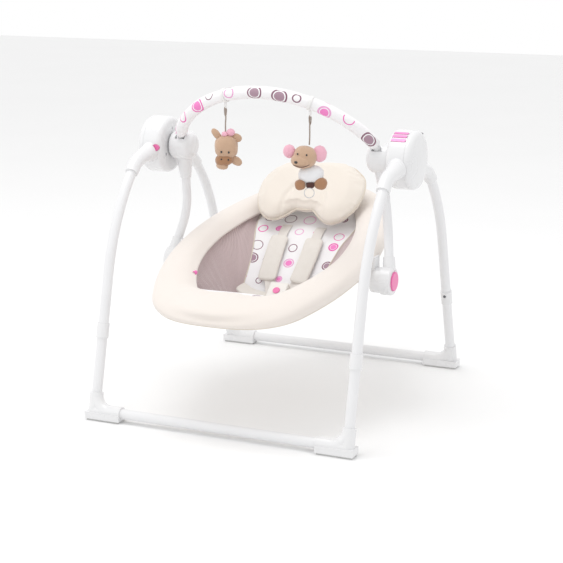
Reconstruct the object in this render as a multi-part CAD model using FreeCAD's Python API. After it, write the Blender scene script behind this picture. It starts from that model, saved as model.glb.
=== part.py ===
import FreeCAD, Part
import math
import os

# A folding electric baby swing. Two tube frames stand on the floor and meet in a round
# hub at each side. Swing arms hang from the hubs and carry a reclining oval seat, and an
# arched toy bar with two plush toys stands on the arms' knuckles.
# Millimetres. +X is the side with the control buttons, -Y is the foot end, +Z is up.
# The origin is on the floor, under the middle of the whole object.

V = FreeCAD.Vector

# ---- overall
FRAME_WIDTH = 620.0
FRAME_DEPTH = 713.0
FRAME_MID_Y = 16.0
HUB_Z = 556.0
HUB_Y = 0.0

# ---- clearances
RUN_FIT = 0.05
SEAT_FIT = 0.02
LOOSE_FIT = 0.5
BUTTON_FIT = 0.4
SOFT_GAP = 0.5
OVERRUN = 2.0

# ---- leg tubes, feet and pads
LEG_D = 22.0
LEG_WALL = 1.5
SWAGE_LENGTH = 45.0
SWAGE_FIT = 0.1
SHOULDER = 3.0
LEG_SPLIT_Z = 172.0
CORNER_BEND = 36.0
FOOT_EDGE = 2.0
FOOT_REACH = 66.0
FOOT_RISE = 40.0
FOOT_WALL = 4.0
PAD_HEIGHT = 4.0
PAD_INSET = 3.0
COLLAR_WALL = 2.2
COLLAR_LENGTH = 32.0
KNEE_DROP = 119.0
KNEE_FILL = 0.93
FRONT_SLOPE = 76.2
REAR_SLOPE = 73.4
FRONT_NECK = (-118.0, -22.0)
REAR_NECK = (140.0, -44.0)
SNAP_R = 3.2
SNAP_HEAD = 3.0
SNAP_STEM = 6.0
SNAP_ABOVE = 22.0

# ---- hubs; sizes along X run inward or outward from the legs' plane
HUB_R = 63.0
HUB_INNER_SIDE = 27.0
HUB_SPLIT_SIDE = 15.0
HUB_OUTER_SIDE = 30.0
HUB_DOME = 4.0
HUB_ROUND = 11.0
HUB_CAP_ROUND = 13.0
HUB_WALL = 2.6
HUB_SEAM = 0.3
BOSS_WALL = 5.0
BOSS_END_SIDE = 10.0
NECK_ROOT_R = 27.0
NECK_WALL = 3.6
NECK_ROOT_AT = 44.0
NECK_GRIP = 34.0
NECK_RINGS = 9
NECK_TURN_R = 50.0
NECK_FLARE = 3.0
SCREW_RING_IN = 26.0
SCREW_R = 1.8
SCREW_HEAD_R = 3.4
SCREW_HEAD_H = 2.0
SCREW_LENGTH = 10.0
SCREW_SLOT = 0.8

# ---- rear frame's pivots
PIVOT_WALL = 9.0
PIVOT_HALF = 7.0
PIVOT_ARM_WALL = 1.6
FOLD_RANGE = 58.0
SLOT_MARGIN = 1.6

# ---- swing axles, knuckles and arms
AXLE_R = 8.0
AXLE_END_SIDE = 19.0
BUSH_WALL = 2.95
BUSH_LENGTH = 10.0
KNUCKLE_GAP = 3.0
KNUCKLE_LENGTH = 54.0
KNUCKLE_R = 32.0
KNUCKLE_WALL = 2.6
KNUCKLE_ROUND_IN = 17.0
KNUCKLE_ROUND_OUT = 9.0
KNUCKLE_RIB = 7.0
KNUCKLE_RIB_IN = 9.0
ARM_INSET = 56.0
ARM_D = 20.0
ARM_WALL = 1.5
ARM_NECK_DROP = 76.0
ARM_NECK_WALL = 2.6
ARM_NECK_ROOT_R = 19.0
ARM_TOP_GAP = 4.0
ARM_MID = (48.5, 28.0, 152.0)
ARM_LOW = (31.0, 8.0, 243.0)
ARM_BEND = 130.0

# ---- recline joints
RECLINE_Y = -12.0
RECLINE_DROP = 264.0
RECLINE_R = 31.0
RECLINE_OUTER_INSET = 19.0
RECLINE_THICK = 24.5
RECLINE_GAP = 0.5
RECLINE_DISC_THICK = 22.0
RECLINE_DISC_STEP = 3.0
RECLINE_ROUND = 4.0
RECLINE_PIN_R = 6.0
RECLINE_PIN_LENGTH = 17.0
RECLINE_SOCKET_WALL = 3.0
RECLINE_SOCKET_RISE = 30.0
RECLINE_BUTTON_R = 21.0
RECLINE_BUTTON_PROUD = 3.5
RECLINE_BUTTON_DEPTH = 2.0
RECLINE_BUTTON_TRAVEL = 3.0
RECLINE_BUTTON_ROUND = 1.5

# ---- toy bar
BAR_TILT = 37.7
BAR_SWING_BACK = 75.0
BAR_RISE = 177.0
BAR_SIDE_RADIUS = 120.0
BAR_D = 16.0
BAR_WALL = 1.5
BAR_START = 16.0
BAR_SLOT_MARGIN = 1.5
SLEEVE_D = 27.0
SLEEVE_GAP = 8.0
SOCKET_WALL = 11.0
SOCKET_HALF = 9.0
SOCKET_STUB_WALL = 1.0
SOCKET_STUB_END = 27.0

# ---- toys
LOOP_WALL = 2.0
LOOP_WIDTH = 8.0
LOOP_TAB = 12.0
LOOP_TAB_T = 3.0
TOY_LEFT_X = -83.0
TOY_RIGHT_X = 111.0
CORD_D = 3.0
CORD_BEND_SHARE = 0.45
CORD_TUCK = 4.0
TOY_LEFT_CORD = ((0.0, 0.0), (1.2, 18.0), (-0.8, 38.0), (0.0, 56.0))
TOY_RIGHT_CORD = ((0.0, 0.0), (-1.2, 20.0), (-0.4, 40.0), (-1.6, 60.0))
TOY_HEAD_R = 27.0
TOY_MUZZLE_R = 18.0
TOY_BODY_R = 22.0
TOY_MUZZLE_DROP = 52.0
TOY_BODY_DROP = 66.0

# ---- seat
SEAT_Y = -18.5
SEAT_DROP = 220.0
SEAT_TILT = 13.75
SEAT_SIDE_ROOM = 62.0
SEAT_HALF_LENGTH = 362.5
SEAT_END_RADIUS = 192.0
BORDER_R = 23.0
SEAT_TUBE_D = 16.0
SEAT_TUBE_WALL = 1.5
SLING_T = 6.0
SLING_FLOOR = (
    (318.0, -10.0), (123.0, -33.0), (21.0, -90.0), (-39.0, -117.0), (-130.0, -102.0), (-318.0, -14.0),
)
SLING_TOP = -1.0
BRACKET_HALF = 15.0
BRACKET_WALL = 4.0
BRACKET_LAP = 8.0
PILLOW_V = 212.0
PILLOW_W = 50.0
PILLOW_LEAN = 26.0
PILLOW_T = 40.0
PILLOW_HALF_WIDTH = 133.0
PILLOW_HALF_LENGTH = 58.0
PILLOW_TOP_V = 30.0
PILLOW_LOBE_R = 56.0
PILLOW_LOBE_X = 72.0
PILLOW_LOBE_V = -32.0
STRAP_T = 8.0
STRAP_W = 37.0
STRAP_X = 41.0
STRAP_LENGTH = 120.0
STRAP_LEAN = 30.0
STRAP_V = 82.0
STRAP_W0 = -36.0
BUCKLE_W = 44.0
BUCKLE_L = 50.0
BUCKLE_T = 14.0
BUCKLE_V = -20.0
BUCKLE_W0 = -93.5
BUCKLE_LEAN = 24.2
BUCKLE_BUTTON_R = 8.0
BUCKLE_BUTTON_TRAVEL = 2.5
BUCKLE_BUTTON_PROUD = 2.0
BUCKLE_BUTTON_DEPTH = 2.0
BUCKLE_ROUND = 3.0

# ---- hub buttons and electrics
CONTROL_ANGLE = 32.0
CONTROL_PITCH = 11.5
CONTROL_LENGTH = 32.0
CONTROL_SHIFT = 2.5
CONTROL_WIDTH = 7.0
CONTROL_ROUND = 3.2
CONTROL_PROUD = 1.4
CONTROL_DEPTH = 4.0
FOLD_BUTTON_R = 7.5
FOLD_BUTTON_PROUD = 2.0
FOLD_BUTTON_DEPTH = 7.0
FOLD_BUTTON_TRAVEL = 2.0
FOLD_BUTTON_IN = 9.5
FOLD_ANGLE_LEFT = 180.0
FOLD_ANGLE_RIGHT = 52.0
LEVER_GAP = 1.0
LEVER_T = 4.0
LEVER_ROOM = 25.0
LEVER_WIDTH = 14.0
MAGNET_R = 8.0
MAGNET_T = 3.0
COIL_R = 11.0
COIL_BORE_R = 4.0
COIL_GAP = 1.5
BOARD_SIZE = (30.0, 30.0, 1.6)
BOARD_DEPTH = 16.0
INLET_R = 5.0
INLET_BORE_R = 2.8
INLET_LENGTH = 10.0
INLET_INSET = 9.0
INLET_FLOOR = 2.0
INLET_ANGLE = 60.0

# ---- worked out from the values above
FOOT_SIDE = LEG_D / 2 + FOOT_WALL + FOOT_EDGE
LEG_X = FRAME_WIDTH / 2 - FOOT_SIDE
BAR_Z = PAD_HEIGHT + FOOT_WALL + LEG_D / 2
KNEE_Z = HUB_Z - KNEE_DROP
HUB_INNER_X = LEG_X - HUB_INNER_SIDE
HUB_SPLIT_X = LEG_X + HUB_SPLIT_SIDE
HUB_OUTER_X = LEG_X + HUB_OUTER_SIDE
BUSH_R = AXLE_R + RUN_FIT + BUSH_WALL
BOSS_R = BUSH_R + BOSS_WALL
BOSS_END_X = LEG_X + BOSS_END_SIDE
NECK_END_R = LEG_D / 2 + NECK_WALL
PIVOT_ARM_R = LEG_D / 2 + PIVOT_ARM_WALL
PIVOT_R = BOSS_R + PIVOT_WALL
PIVOT_X0 = LEG_X - PIVOT_HALF
PIVOT_X1 = LEG_X + PIVOT_HALF
AXLE_END_X = LEG_X + AXLE_END_SIDE
KNUCKLE_OUTER_X = HUB_INNER_X - KNUCKLE_GAP
KNUCKLE_INNER_X = KNUCKLE_OUTER_X - KNUCKLE_LENGTH
KNUCKLE_X = LEG_X - ARM_INSET
AXLE_START_X = KNUCKLE_INNER_X + KNUCKLE_RIB_IN
RECLINE_OUTER_X = LEG_X - RECLINE_OUTER_INSET
RECLINE_SPLIT_X = RECLINE_OUTER_X - RECLINE_THICK
RECLINE_DISC_X = RECLINE_SPLIT_X - RECLINE_GAP
RECLINE_INNER_X = RECLINE_DISC_X - RECLINE_DISC_THICK
BAR_HALF_WIDTH = KNUCKLE_X
SLEEVE_START = KNUCKLE_R + SLEEVE_GAP
SOCKET_R = AXLE_R + SOCKET_WALL
LEVER_X0 = BOSS_END_X + LEVER_GAP
LEVER_LENGTH = HUB_R - LEVER_ROOM
SEAT_Z = HUB_Z - SEAT_DROP
SEAT_HALF_WIDTH = LEG_X - SEAT_SIDE_ROOM
SCREW_RING_R = HUB_R - SCREW_RING_IN
X_AXIS = V(1, 0, 0)
Z_AXIS = V(0, 0, 1)


def cyl(centre, axis, radius, length):
    return Part.makeCylinder(radius, length, centre, axis)


def x_cyl(x0, x1, radius, y=HUB_Y, z=HUB_Z):
    return Part.makeCylinder(radius, x1 - x0, V(x0, y, z), X_AXIS)


def box(x0, x1, y0, y1, z0, z1):
    return Part.makeBox(x1 - x0, y1 - y0, z1 - z0, V(x0, y0, z0))


def polar(radius, degrees, x=0.0):
    """A point round the hub axis. The angle runs from +Y towards +Z."""
    a = math.radians(degrees)
    return V(x, HUB_Y + radius * math.cos(a), HUB_Z + radius * math.sin(a))


def unit(vector):
    return V(vector).normalize()


def bent_path(points, radius):
    """Straight runs through the points, joined by tangent arcs."""
    edges = []
    start = points[0]
    for i in range(1, len(points) - 1):
        corner = points[i]
        r = radius[i - 1] if isinstance(radius, (list, tuple)) else radius
        into = unit(corner - points[i - 1])
        out = unit(points[i + 1] - corner)
        half = into.getAngle(out) / 2
        cut = r * math.tan(half)
        a = corner - into * cut
        b = corner + out * cut
        to_centre = unit(out - into)
        centre = corner + to_centre * (r / math.cos(half))
        middle = centre - to_centre * r
        edges.append(Part.LineSegment(start, a).toShape())
        edges.append(Part.Arc(a, middle, b).toShape())
        start = b
    edges.append(Part.LineSegment(start, points[-1]).toShape())
    return Part.Wire(edges)


def sweep(path, radius):
    edge = path.OrderedEdges[0]
    start = edge.valueAt(edge.FirstParameter)
    tangent = edge.tangentAt(edge.FirstParameter)
    ring = Part.Wire([Part.makeCircle(radius, start, tangent)])
    return path.makePipeShell([ring], True, False)


def pipe(path, outer_d, wall):
    return sweep(path, outer_d / 2).cut(sweep(path, outer_d / 2 - wall))


def fuse(first, *rest):
    shape = first.fuse(list(rest))
    return shape.removeSplitter()


def mirrored(shape):
    return shape.mirror(V(0, 0, 0), X_AXIS)


def revolved(outline, y=HUB_Y, z=HUB_Z):
    """Turns a closed outline of edges, drawn in X and Z, about the X axis, then places it."""
    face = Part.Face(Part.Wire(outline))
    solid = face.revolve(V(0, 0, 0), X_AXIS, 360)
    solid.translate(V(0, y, z))
    return solid


def line(a, b):
    return Part.LineSegment(V(a[0], 0, a[1]), V(b[0], 0, b[1])).toShape()


def arc(a, m, b):
    return Part.Arc(V(a[0], 0, a[1]), V(m[0], 0, m[1]), V(b[0], 0, b[1])).toShape()


def round_corner(cx, cr, r, start_deg, end_deg):
    """A quarter of a circle in the outline plane, from one angle to the other."""
    pts = []
    for deg in (start_deg, (start_deg + end_deg) / 2, end_deg):
        a = math.radians(deg)
        pts.append((cx + r * math.cos(a), cr + r * math.sin(a)))
    return arc(*pts)


def drum(x0, x1, radius, round0, round1, dome=0.0):
    """A solid drum on the hub axis with rounded rims and a slightly domed far face."""
    edges = []
    if round0 > 0:
        edges.append(line((x0, 0), (x0, radius - round0)))
        edges.append(round_corner(x0 + round0, radius - round0, round0, 180, 90))
    else:
        edges.append(line((x0, 0), (x0, radius)))
    edges.append(line((x0 + round0, radius), (x1 - round1, radius)))
    if round1 > 0:
        edges.append(round_corner(x1 - round1, radius - round1, round1, 90, 0))
    flat = radius - round1
    if dome > 0:
        sphere_r = (flat * flat + dome * dome) / (2 * dome)
        half = flat / 2
        rise = dome - (sphere_r - math.sqrt(sphere_r * sphere_r - half * half))
        edges.append(arc((x1, flat), (x1 + rise, half), (x1 + dome, 0)))
        edges.append(line((x1 + dome, 0), (x0, 0)))
    else:
        edges.append(line((x1, flat), (x1, 0)))
        edges.append(line((x1, 0), (x0, 0)))
    return revolved(edges)


# ---- frames: knees, necks and feet
def leg_points(side):
    """Foot, knee and neck of a leg in the YZ plane. side is -1 in front and 1 behind."""
    foot_y = FRAME_MID_Y + side * (FRAME_DEPTH / 2 - FOOT_SIDE)
    slope = FRONT_SLOPE if side < 0 else REAR_SLOPE
    knee_y = foot_y - side * (KNEE_Z - BAR_Z) / math.tan(math.radians(slope))
    neck = FRONT_NECK if side < 0 else REAR_NECK
    return (
        V(LEG_X, foot_y, BAR_Z),
        V(LEG_X, knee_y, KNEE_Z),
        V(LEG_X, HUB_Y + neck[0], HUB_Z + neck[1]),
    )


def on_leg(side, z):
    """The point of the leg's straight lower run at a height."""
    foot, knee, _ = leg_points(side)
    return foot + (knee - foot) * ((z - foot.z) / (knee.z - foot.z))


def snap_frame(side):
    """Centre and outward direction of a leg's snap button, on the leg's inner face."""
    centre = on_leg(side, LEG_SPLIT_Z + SNAP_ABOVE)
    foot, knee, _ = leg_points(side)
    along = unit(knee - foot)
    out = unit(X_AXIS.cross(along)) * side
    return centre, out


def snap_hole(side):
    centre, out = snap_frame(side)
    return cyl(centre, out, SNAP_R + BUTTON_FIT, LEG_D)


def upper_path(side):
    _, knee, neck = leg_points(side)
    half_turn = (knee - on_leg(side, LEG_SPLIT_Z)).getAngle(neck - knee) / 2
    bend = KNEE_FILL * (neck - knee).Length / math.tan(half_turn)
    return bent_path([on_leg(side, LEG_SPLIT_Z), knee, neck], bend)


def upper_leg(side):
    return pipe(upper_path(side), LEG_D, LEG_WALL).cut(snap_hole(side))


def base_path(side, top_z):
    foot, _, _ = leg_points(side)
    top = on_leg(side, top_z)
    far_foot = V(-foot.x, foot.y, foot.z)
    far_top = V(-top.x, top.y, top.z)
    return bent_path([top, foot, far_foot, far_top], CORNER_BEND)


def base_frame(side):
    """The lower tube: leg, bend, floor bar, bend, leg, with both ends swaged down."""
    tube = pipe(base_path(side, LEG_SPLIT_Z - SHOULDER), LEG_D, LEG_WALL)
    foot, knee, _ = leg_points(side)
    along = unit(knee - foot)
    swage_r = LEG_D / 2 - LEG_WALL - SWAGE_FIT
    start = on_leg(side, LEG_SPLIT_Z - SHOULDER)
    shoulder = cyl(start, along, LEG_D / 2, (on_leg(side, LEG_SPLIT_Z) - start).Length)
    swage = cyl(start, along, swage_r, SWAGE_LENGTH)
    bore = cyl(start - along, along, swage_r - LEG_WALL, SWAGE_LENGTH + OVERRUN)
    end = fuse(shoulder, swage).cut(bore).cut(snap_hole(side))
    return fuse(tube, end, mirrored(end))


def leg_collar(side):
    foot, knee, _ = leg_points(side)
    along = unit(knee - foot)
    start = on_leg(side, LEG_SPLIT_Z)
    outer = cyl(start, along, LEG_D / 2 + COLLAR_WALL, COLLAR_LENGTH)
    bore = cyl(start - along, along, LEG_D / 2 + SEAT_FIT, COLLAR_LENGTH + OVERRUN)
    return outer.cut(bore).cut(snap_hole(side))


def snap_button(side):
    centre, out = snap_frame(side)
    inner = LEG_D / 2 - LEG_WALL - SWAGE_FIT - LEG_WALL - SNAP_STEM / 2
    reach = LEG_D / 2 + COLLAR_WALL + SNAP_HEAD - inner
    stem = cyl(centre + out * inner, out, SNAP_R, reach - 1)
    return stem.makeFillet(SNAP_R / 2, [stem.Edges[0]])


def foot_boot(side):
    """A moulded corner boot round the tube's bend, with a flat sole."""
    foot, knee, _ = leg_points(side)
    along = unit(knee - foot)
    reach = V(foot.x - FOOT_REACH, foot.y, foot.z)
    top = foot + along * FOOT_RISE
    outer_r = LEG_D / 2 + FOOT_WALL - SOFT_GAP
    bend = sweep(bent_path([top, foot, reach], CORNER_BEND), outer_r)
    leg = cyl(foot, along, outer_r, FOOT_RISE)
    bar = cyl(foot, V(-1, 0, 0), outer_r, FOOT_REACH)
    knob = Part.makeSphere(outer_r, foot)
    x0 = reach.x
    x1 = foot.x + FOOT_SIDE
    y0 = foot.y - FOOT_SIDE
    y1 = foot.y + FOOT_SIDE
    sole = box(x0, x1, y0, y1, PAD_HEIGHT, BAR_Z)
    body = fuse(sole, bend, leg, bar, knob)
    tunnel = sweep(base_path(side, LEG_SPLIT_Z), LEG_D / 2 + SEAT_FIT)
    return body.cut(tunnel)


def foot_pad(side):
    foot, _, _ = leg_points(side)
    return box(
        foot.x - FOOT_REACH + PAD_INSET, foot.x + FOOT_SIDE - PAD_INSET,
        foot.y - FOOT_SIDE + PAD_INSET, foot.y + FOOT_SIDE - PAD_INSET, 0, PAD_HEIGHT,
    )


# ---- hubs
def neck_line(side):
    """Root, end and direction of the socket that takes a leg's top."""
    _, knee, neck = leg_points(side)
    down = unit(knee - neck)
    offset = neck - V(LEG_X, HUB_Y, HUB_Z)
    root = V(LEG_X, HUB_Y, HUB_Z) + unit(offset) * NECK_ROOT_AT
    return root, neck, down


def curved_neck(start, corner, end, start_r, flare):
    """A smooth tapering neck, lofted through rings along a path that turns at the corner."""
    spots = bent_path([start, corner, end], NECK_TURN_R).discretize(Number=NECK_RINGS)
    rings = []
    for k, spot in enumerate(spots):
        along = unit(spots[min(k + 1, NECK_RINGS - 1)] - spots[max(k - 1, 0)])
        left = 1 - k / (NECK_RINGS - 1)
        radius = NECK_END_R + (start_r - NECK_END_R) * left ** flare
        rings.append(Part.Wire([Part.makeCircle(radius, spot, along)]))
    return Part.makeLoft(rings, True)


def neck_socket(side):
    root, neck, down = neck_line(side)
    return curved_neck(root, neck, neck + down * NECK_GRIP, NECK_ROOT_R, NECK_FLARE)


def leg_bore(side):
    return sweep(upper_path(side), LEG_D / 2 + SEAT_FIT)


def fan(radius, x0, x1, start_deg, end_deg):
    """A wedge round the hub axis, for slots that let something swing."""
    p0 = polar(radius, start_deg, x0)
    pm = polar(radius, (start_deg + end_deg) / 2, x0)
    p1 = polar(radius, end_deg, x0)
    centre = V(x0, HUB_Y, HUB_Z)
    edges = [
        Part.LineSegment(centre, p0).toShape(),
        Part.Arc(p0, pm, p1).toShape(),
        Part.LineSegment(p1, centre).toShape(),
    ]
    return Part.Face(Part.Wire(edges)).extrude(V(x1 - x0, 0, 0))


REAR_ANGLE = math.degrees(math.atan2(REAR_NECK[1], REAR_NECK[0]))
SLOT_HALF_ANGLE = math.degrees(math.asin((PIVOT_ARM_R + SLOT_MARGIN) / (HUB_R - HUB_WALL - OVERRUN)))


def control_button(i, extra=0.0):
    """One long thumb button on the hub's rim; extra grows it into its own window."""
    angle = 90 + CONTROL_ANGLE + (i - 1) * math.degrees(CONTROL_PITCH / HUB_R)
    length = CONTROL_LENGTH + 2 * extra
    width = CONTROL_WIDTH + 2 * extra
    bottom = HUB_R - CONTROL_DEPTH - HUB_WALL - extra
    top = HUB_R + CONTROL_PROUD + (OVERRUN if extra > 0 else 0.0)
    block = box(-length / 2, length / 2, -width / 2, width / 2, bottom, top)
    if extra == 0:
        ends = [e for e in block.Edges if abs(e.tangentAt(0).z) > 0.9]
        block = block.makeFillet(CONTROL_ROUND, ends)
    block.rotate(V(0, 0, 0), X_AXIS, angle - 90)
    block.translate(V((HUB_INNER_X + HUB_SPLIT_X) / 2 + CONTROL_SHIFT, HUB_Y, HUB_Z))
    return block


def fold_button(angle, extra=0.0):
    """A round button in the hub's rim; extra grows it into its own window, with room to travel."""
    travel = FOLD_BUTTON_TRAVEL if extra > 0 else 0.0
    start = HUB_R - FOLD_BUTTON_DEPTH - extra - travel
    length = FOLD_BUTTON_DEPTH + FOLD_BUTTON_PROUD + extra + 2 * travel
    foot = polar(start, angle, HUB_INNER_X + FOLD_BUTTON_IN)
    return cyl(foot, unit(foot - V(foot.x, HUB_Y, HUB_Z)), FOLD_BUTTON_R + extra, length)


def hub_housing():
    outer = drum(HUB_INNER_X, HUB_SPLIT_X - HUB_SEAM, HUB_R, HUB_ROUND, 0)
    cavity = drum(
        HUB_INNER_X + HUB_WALL, HUB_SPLIT_X + OVERRUN, HUB_R - HUB_WALL, HUB_ROUND - HUB_WALL, 0,
    )
    boss = x_cyl(HUB_INNER_X + HUB_WALL / 2, BOSS_END_X, BOSS_R)
    shell = fuse(outer.cut(cavity), boss)
    shell = shell.cut(x_cyl(HUB_INNER_X - OVERRUN, BOSS_END_X + OVERRUN, BUSH_R + SEAT_FIT))
    cap_room = x_cyl(HUB_SPLIT_X - HUB_SEAM, HUB_OUTER_X, HUB_R + HUB_SEAM)
    neck = neck_socket(-1).cut(cap_room)
    neck = neck.cut(x_cyl(HUB_INNER_X - OVERRUN, HUB_OUTER_X, HUB_R - HUB_WALL / 2))
    shell = fuse(shell, neck)
    shell = shell.cut(leg_bore(-1))
    slot_x = (LEG_X - PIVOT_ARM_R - SLOT_MARGIN, LEG_X + PIVOT_ARM_R + SLOT_MARGIN)
    slot = fan(
        HUB_R + OVERRUN, slot_x[0], slot_x[1],
        REAR_ANGLE - FOLD_RANGE - SLOT_HALF_ANGLE, REAR_ANGLE + SLOT_HALF_ANGLE,
    )
    slot = slot.cut(x_cyl(slot_x[0] - 1, slot_x[1] + 1, HUB_R - HUB_WALL - OVERRUN))
    return shell.cut(slot)


def hub_cap():
    outer = drum(HUB_SPLIT_X, HUB_OUTER_X, HUB_R, 0, HUB_CAP_ROUND, HUB_DOME)
    inner_x = HUB_OUTER_X - HUB_WALL
    cavity = drum(HUB_SPLIT_X - OVERRUN, inner_x, HUB_R - HUB_WALL, 0, HUB_CAP_ROUND - HUB_WALL, HUB_DOME)
    return outer.cut(cavity)


def hub_screws():
    """Three screws through the housing's inner face into the boss plate."""
    screws = []
    for k in range(3):
        spot = polar(SCREW_RING_R, 90 + 120 * k, HUB_INNER_X)
        head = cyl(spot, X_AXIS, SCREW_HEAD_R, SCREW_HEAD_H)
        shank = cyl(spot, X_AXIS, SCREW_R, SCREW_LENGTH)
        arm = SCREW_HEAD_R - SCREW_HEAD_H / 2
        half = SCREW_SLOT / 2
        cross = box(-half, SCREW_SLOT, -arm, arm, -half, half)
        cross = fuse(cross, box(-half, SCREW_SLOT, -half, half, -arm, arm))
        cross.translate(spot)
        screws.append(fuse(head, shank).cut(cross))
    return screws


def screw_holes():
    holes = []
    for k in range(3):
        spot = polar(SCREW_RING_R, 90 + 120 * k, HUB_INNER_X)
        holes.append(cyl(spot - X_AXIS, X_AXIS, SCREW_HEAD_R + SEAT_FIT, SCREW_HEAD_H + 1))
        holes.append(cyl(spot, X_AXIS, SCREW_R + SEAT_FIT, SCREW_LENGTH + 1))
    return holes


def screw_bosses():
    bosses = []
    for k in range(3):
        spot = polar(SCREW_RING_R, 90 + 120 * k, HUB_INNER_X + HUB_WALL / 2)
        bosses.append(cyl(spot, X_AXIS, SCREW_HEAD_R + HUB_WALL, SCREW_LENGTH))
    return bosses


def axle_bush(x0):
    outer = x_cyl(x0, x0 + BUSH_LENGTH, BUSH_R)
    return outer.cut(x_cyl(x0 - 1, x0 + BUSH_LENGTH + 1, AXLE_R + RUN_FIT))


def rear_pivot():
    """The ring on the hub's boss that the rear leg turns on, and the arm that grips the leg."""
    ring = x_cyl(PIVOT_X0, PIVOT_X1, PIVOT_R)
    _, neck, down = neck_line(1)
    start = polar(BOSS_R + RUN_FIT, REAR_ANGLE, LEG_X)
    arm = curved_neck(start, neck, neck + down * NECK_GRIP, PIVOT_ARM_R, 1)
    body = fuse(ring, arm)
    body = body.cut(x_cyl(HUB_INNER_X, HUB_OUTER_X, BOSS_R + RUN_FIT))
    return body.cut(leg_bore(1))


# ---- swing arms
def swing_axle():
    return x_cyl(AXLE_START_X, AXLE_END_X, AXLE_R)


BAR_ANGLE = 90 + BAR_TILT


def knuckle():
    outer = drum(KNUCKLE_INNER_X, KNUCKLE_OUTER_X, KNUCKLE_R, KNUCKLE_ROUND_IN, KNUCKLE_ROUND_OUT)
    middle = V(KNUCKLE_X, HUB_Y, HUB_Z)
    arm_top = arm_points()[0]
    lean = unit(arm_points()[1] - arm_top)
    neck_start = middle + lean * (KNUCKLE_R / 2)
    neck_end_r = ARM_D / 2 + ARM_NECK_WALL
    neck = Part.makeCone(ARM_NECK_ROOT_R, neck_end_r, ARM_NECK_DROP - KNUCKLE_R / 2, neck_start, lean)
    body = fuse(outer, neck)
    cavity = drum(
        KNUCKLE_INNER_X + KNUCKLE_WALL, KNUCKLE_OUTER_X - KNUCKLE_WALL, KNUCKLE_R - KNUCKLE_WALL,
        KNUCKLE_ROUND_IN - KNUCKLE_WALL, KNUCKLE_ROUND_OUT - KNUCKLE_WALL,
    )
    body = body.cut(cavity)
    for rib_x in (AXLE_START_X - 1, KNUCKLE_OUTER_X - KNUCKLE_WALL - KNUCKLE_RIB):
        body = fuse(body, x_cyl(rib_x, rib_x + KNUCKLE_RIB, KNUCKLE_R).common(outer))
    body = body.cut(x_cyl(AXLE_START_X, KNUCKLE_OUTER_X + OVERRUN, AXLE_R + SEAT_FIT))
    body = body.cut(cyl(arm_top, lean, ARM_D / 2 + SEAT_FIT, ARM_NECK_DROP))
    half = BAR_D / 2 + BAR_SLOT_MARGIN
    bar_shift = BAR_SIDE_RADIUS - math.sqrt(BAR_SIDE_RADIUS ** 2 - KNUCKLE_R ** 2)
    margin = math.degrees(math.asin(half / (KNUCKLE_R - KNUCKLE_WALL)))
    slot = fan(
        KNUCKLE_R + OVERRUN, KNUCKLE_X - half - bar_shift, KNUCKLE_X + half,
        BAR_ANGLE - BAR_SWING_BACK - margin, BAR_ANGLE + margin,
    )
    slot = slot.cut(x_cyl(KNUCKLE_INNER_X, KNUCKLE_OUTER_X, SOCKET_R))
    return body.cut(slot)


def arm_points():
    low = V(LEG_X - ARM_LOW[0], HUB_Y - ARM_LOW[1], HUB_Z - ARM_LOW[2])
    mid = V(LEG_X - ARM_MID[0], HUB_Y + ARM_MID[1], HUB_Z - ARM_MID[2])
    aim = unit(mid - V(KNUCKLE_X, HUB_Y, HUB_Z))
    top = V(KNUCKLE_X, HUB_Y, HUB_Z) + aim * (KNUCKLE_R + ARM_TOP_GAP)
    return top, mid, low


def swing_arm():
    return pipe(bent_path(list(arm_points()), ARM_BEND), ARM_D, ARM_WALL)


def recline_centre(x):
    return V(x, HUB_Y + RECLINE_Y, HUB_Z - RECLINE_DROP)


def recline_housing():
    centre = recline_centre(RECLINE_SPLIT_X)
    disc = cyl(centre, X_AXIS, RECLINE_R, RECLINE_OUTER_X - RECLINE_SPLIT_X)
    disc = disc.makeFillet(RECLINE_ROUND, [disc.Edges[0]])
    top, mid, low = arm_points()
    up = unit(mid - low)
    socket_r = ARM_D / 2 + RECLINE_SOCKET_WALL
    socket = Part.makeCone(socket_r + 1, socket_r, RECLINE_SOCKET_RISE, low, up)
    disc_depth = RECLINE_DISC_THICK + RECLINE_GAP
    disc_room = cyl(recline_centre(RECLINE_INNER_X), X_AXIS, RECLINE_R + LOOSE_FIT, disc_depth)
    body = fuse(disc, socket.cut(disc_room))
    arm_hole = sweep(bent_path([top, mid, low], ARM_BEND), ARM_D / 2 + SEAT_FIT)
    body = body.cut(arm_hole)
    pin = cyl(centre - X_AXIS, X_AXIS, RECLINE_PIN_R + RUN_FIT, RECLINE_PIN_LENGTH + OVERRUN)
    body = body.cut(pin)
    depth = RECLINE_BUTTON_DEPTH + RECLINE_BUTTON_TRAVEL + BUTTON_FIT
    recess_r = RECLINE_BUTTON_R + BUTTON_FIT
    return body.cut(cyl(recline_centre(RECLINE_OUTER_X - depth), X_AXIS, recess_r, depth + OVERRUN))


def recline_button():
    start = RECLINE_OUTER_X - RECLINE_BUTTON_DEPTH
    length = RECLINE_BUTTON_DEPTH + RECLINE_BUTTON_PROUD
    disc = cyl(recline_centre(start), X_AXIS, RECLINE_BUTTON_R, length)
    return disc.makeFillet(RECLINE_BUTTON_ROUND, [disc.Edges[0]])


def drive_lever():
    x1 = LEVER_X0 + LEVER_T
    eye = x_cyl(LEVER_X0, x1, BUSH_R)
    blade = box(
        LEVER_X0, x1, HUB_Y - LEVER_WIDTH / 2, HUB_Y + LEVER_WIDTH / 2, HUB_Z, HUB_Z + LEVER_LENGTH,
    )
    magnet = cyl(V(x1, HUB_Y, HUB_Z + LEVER_LENGTH - MAGNET_R), X_AXIS, MAGNET_R, MAGNET_T)
    body = fuse(eye, blade)
    body = body.cut(x_cyl(LEVER_X0 - 1, x1 + 1, AXLE_R + SEAT_FIT))
    return [body, magnet]


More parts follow.
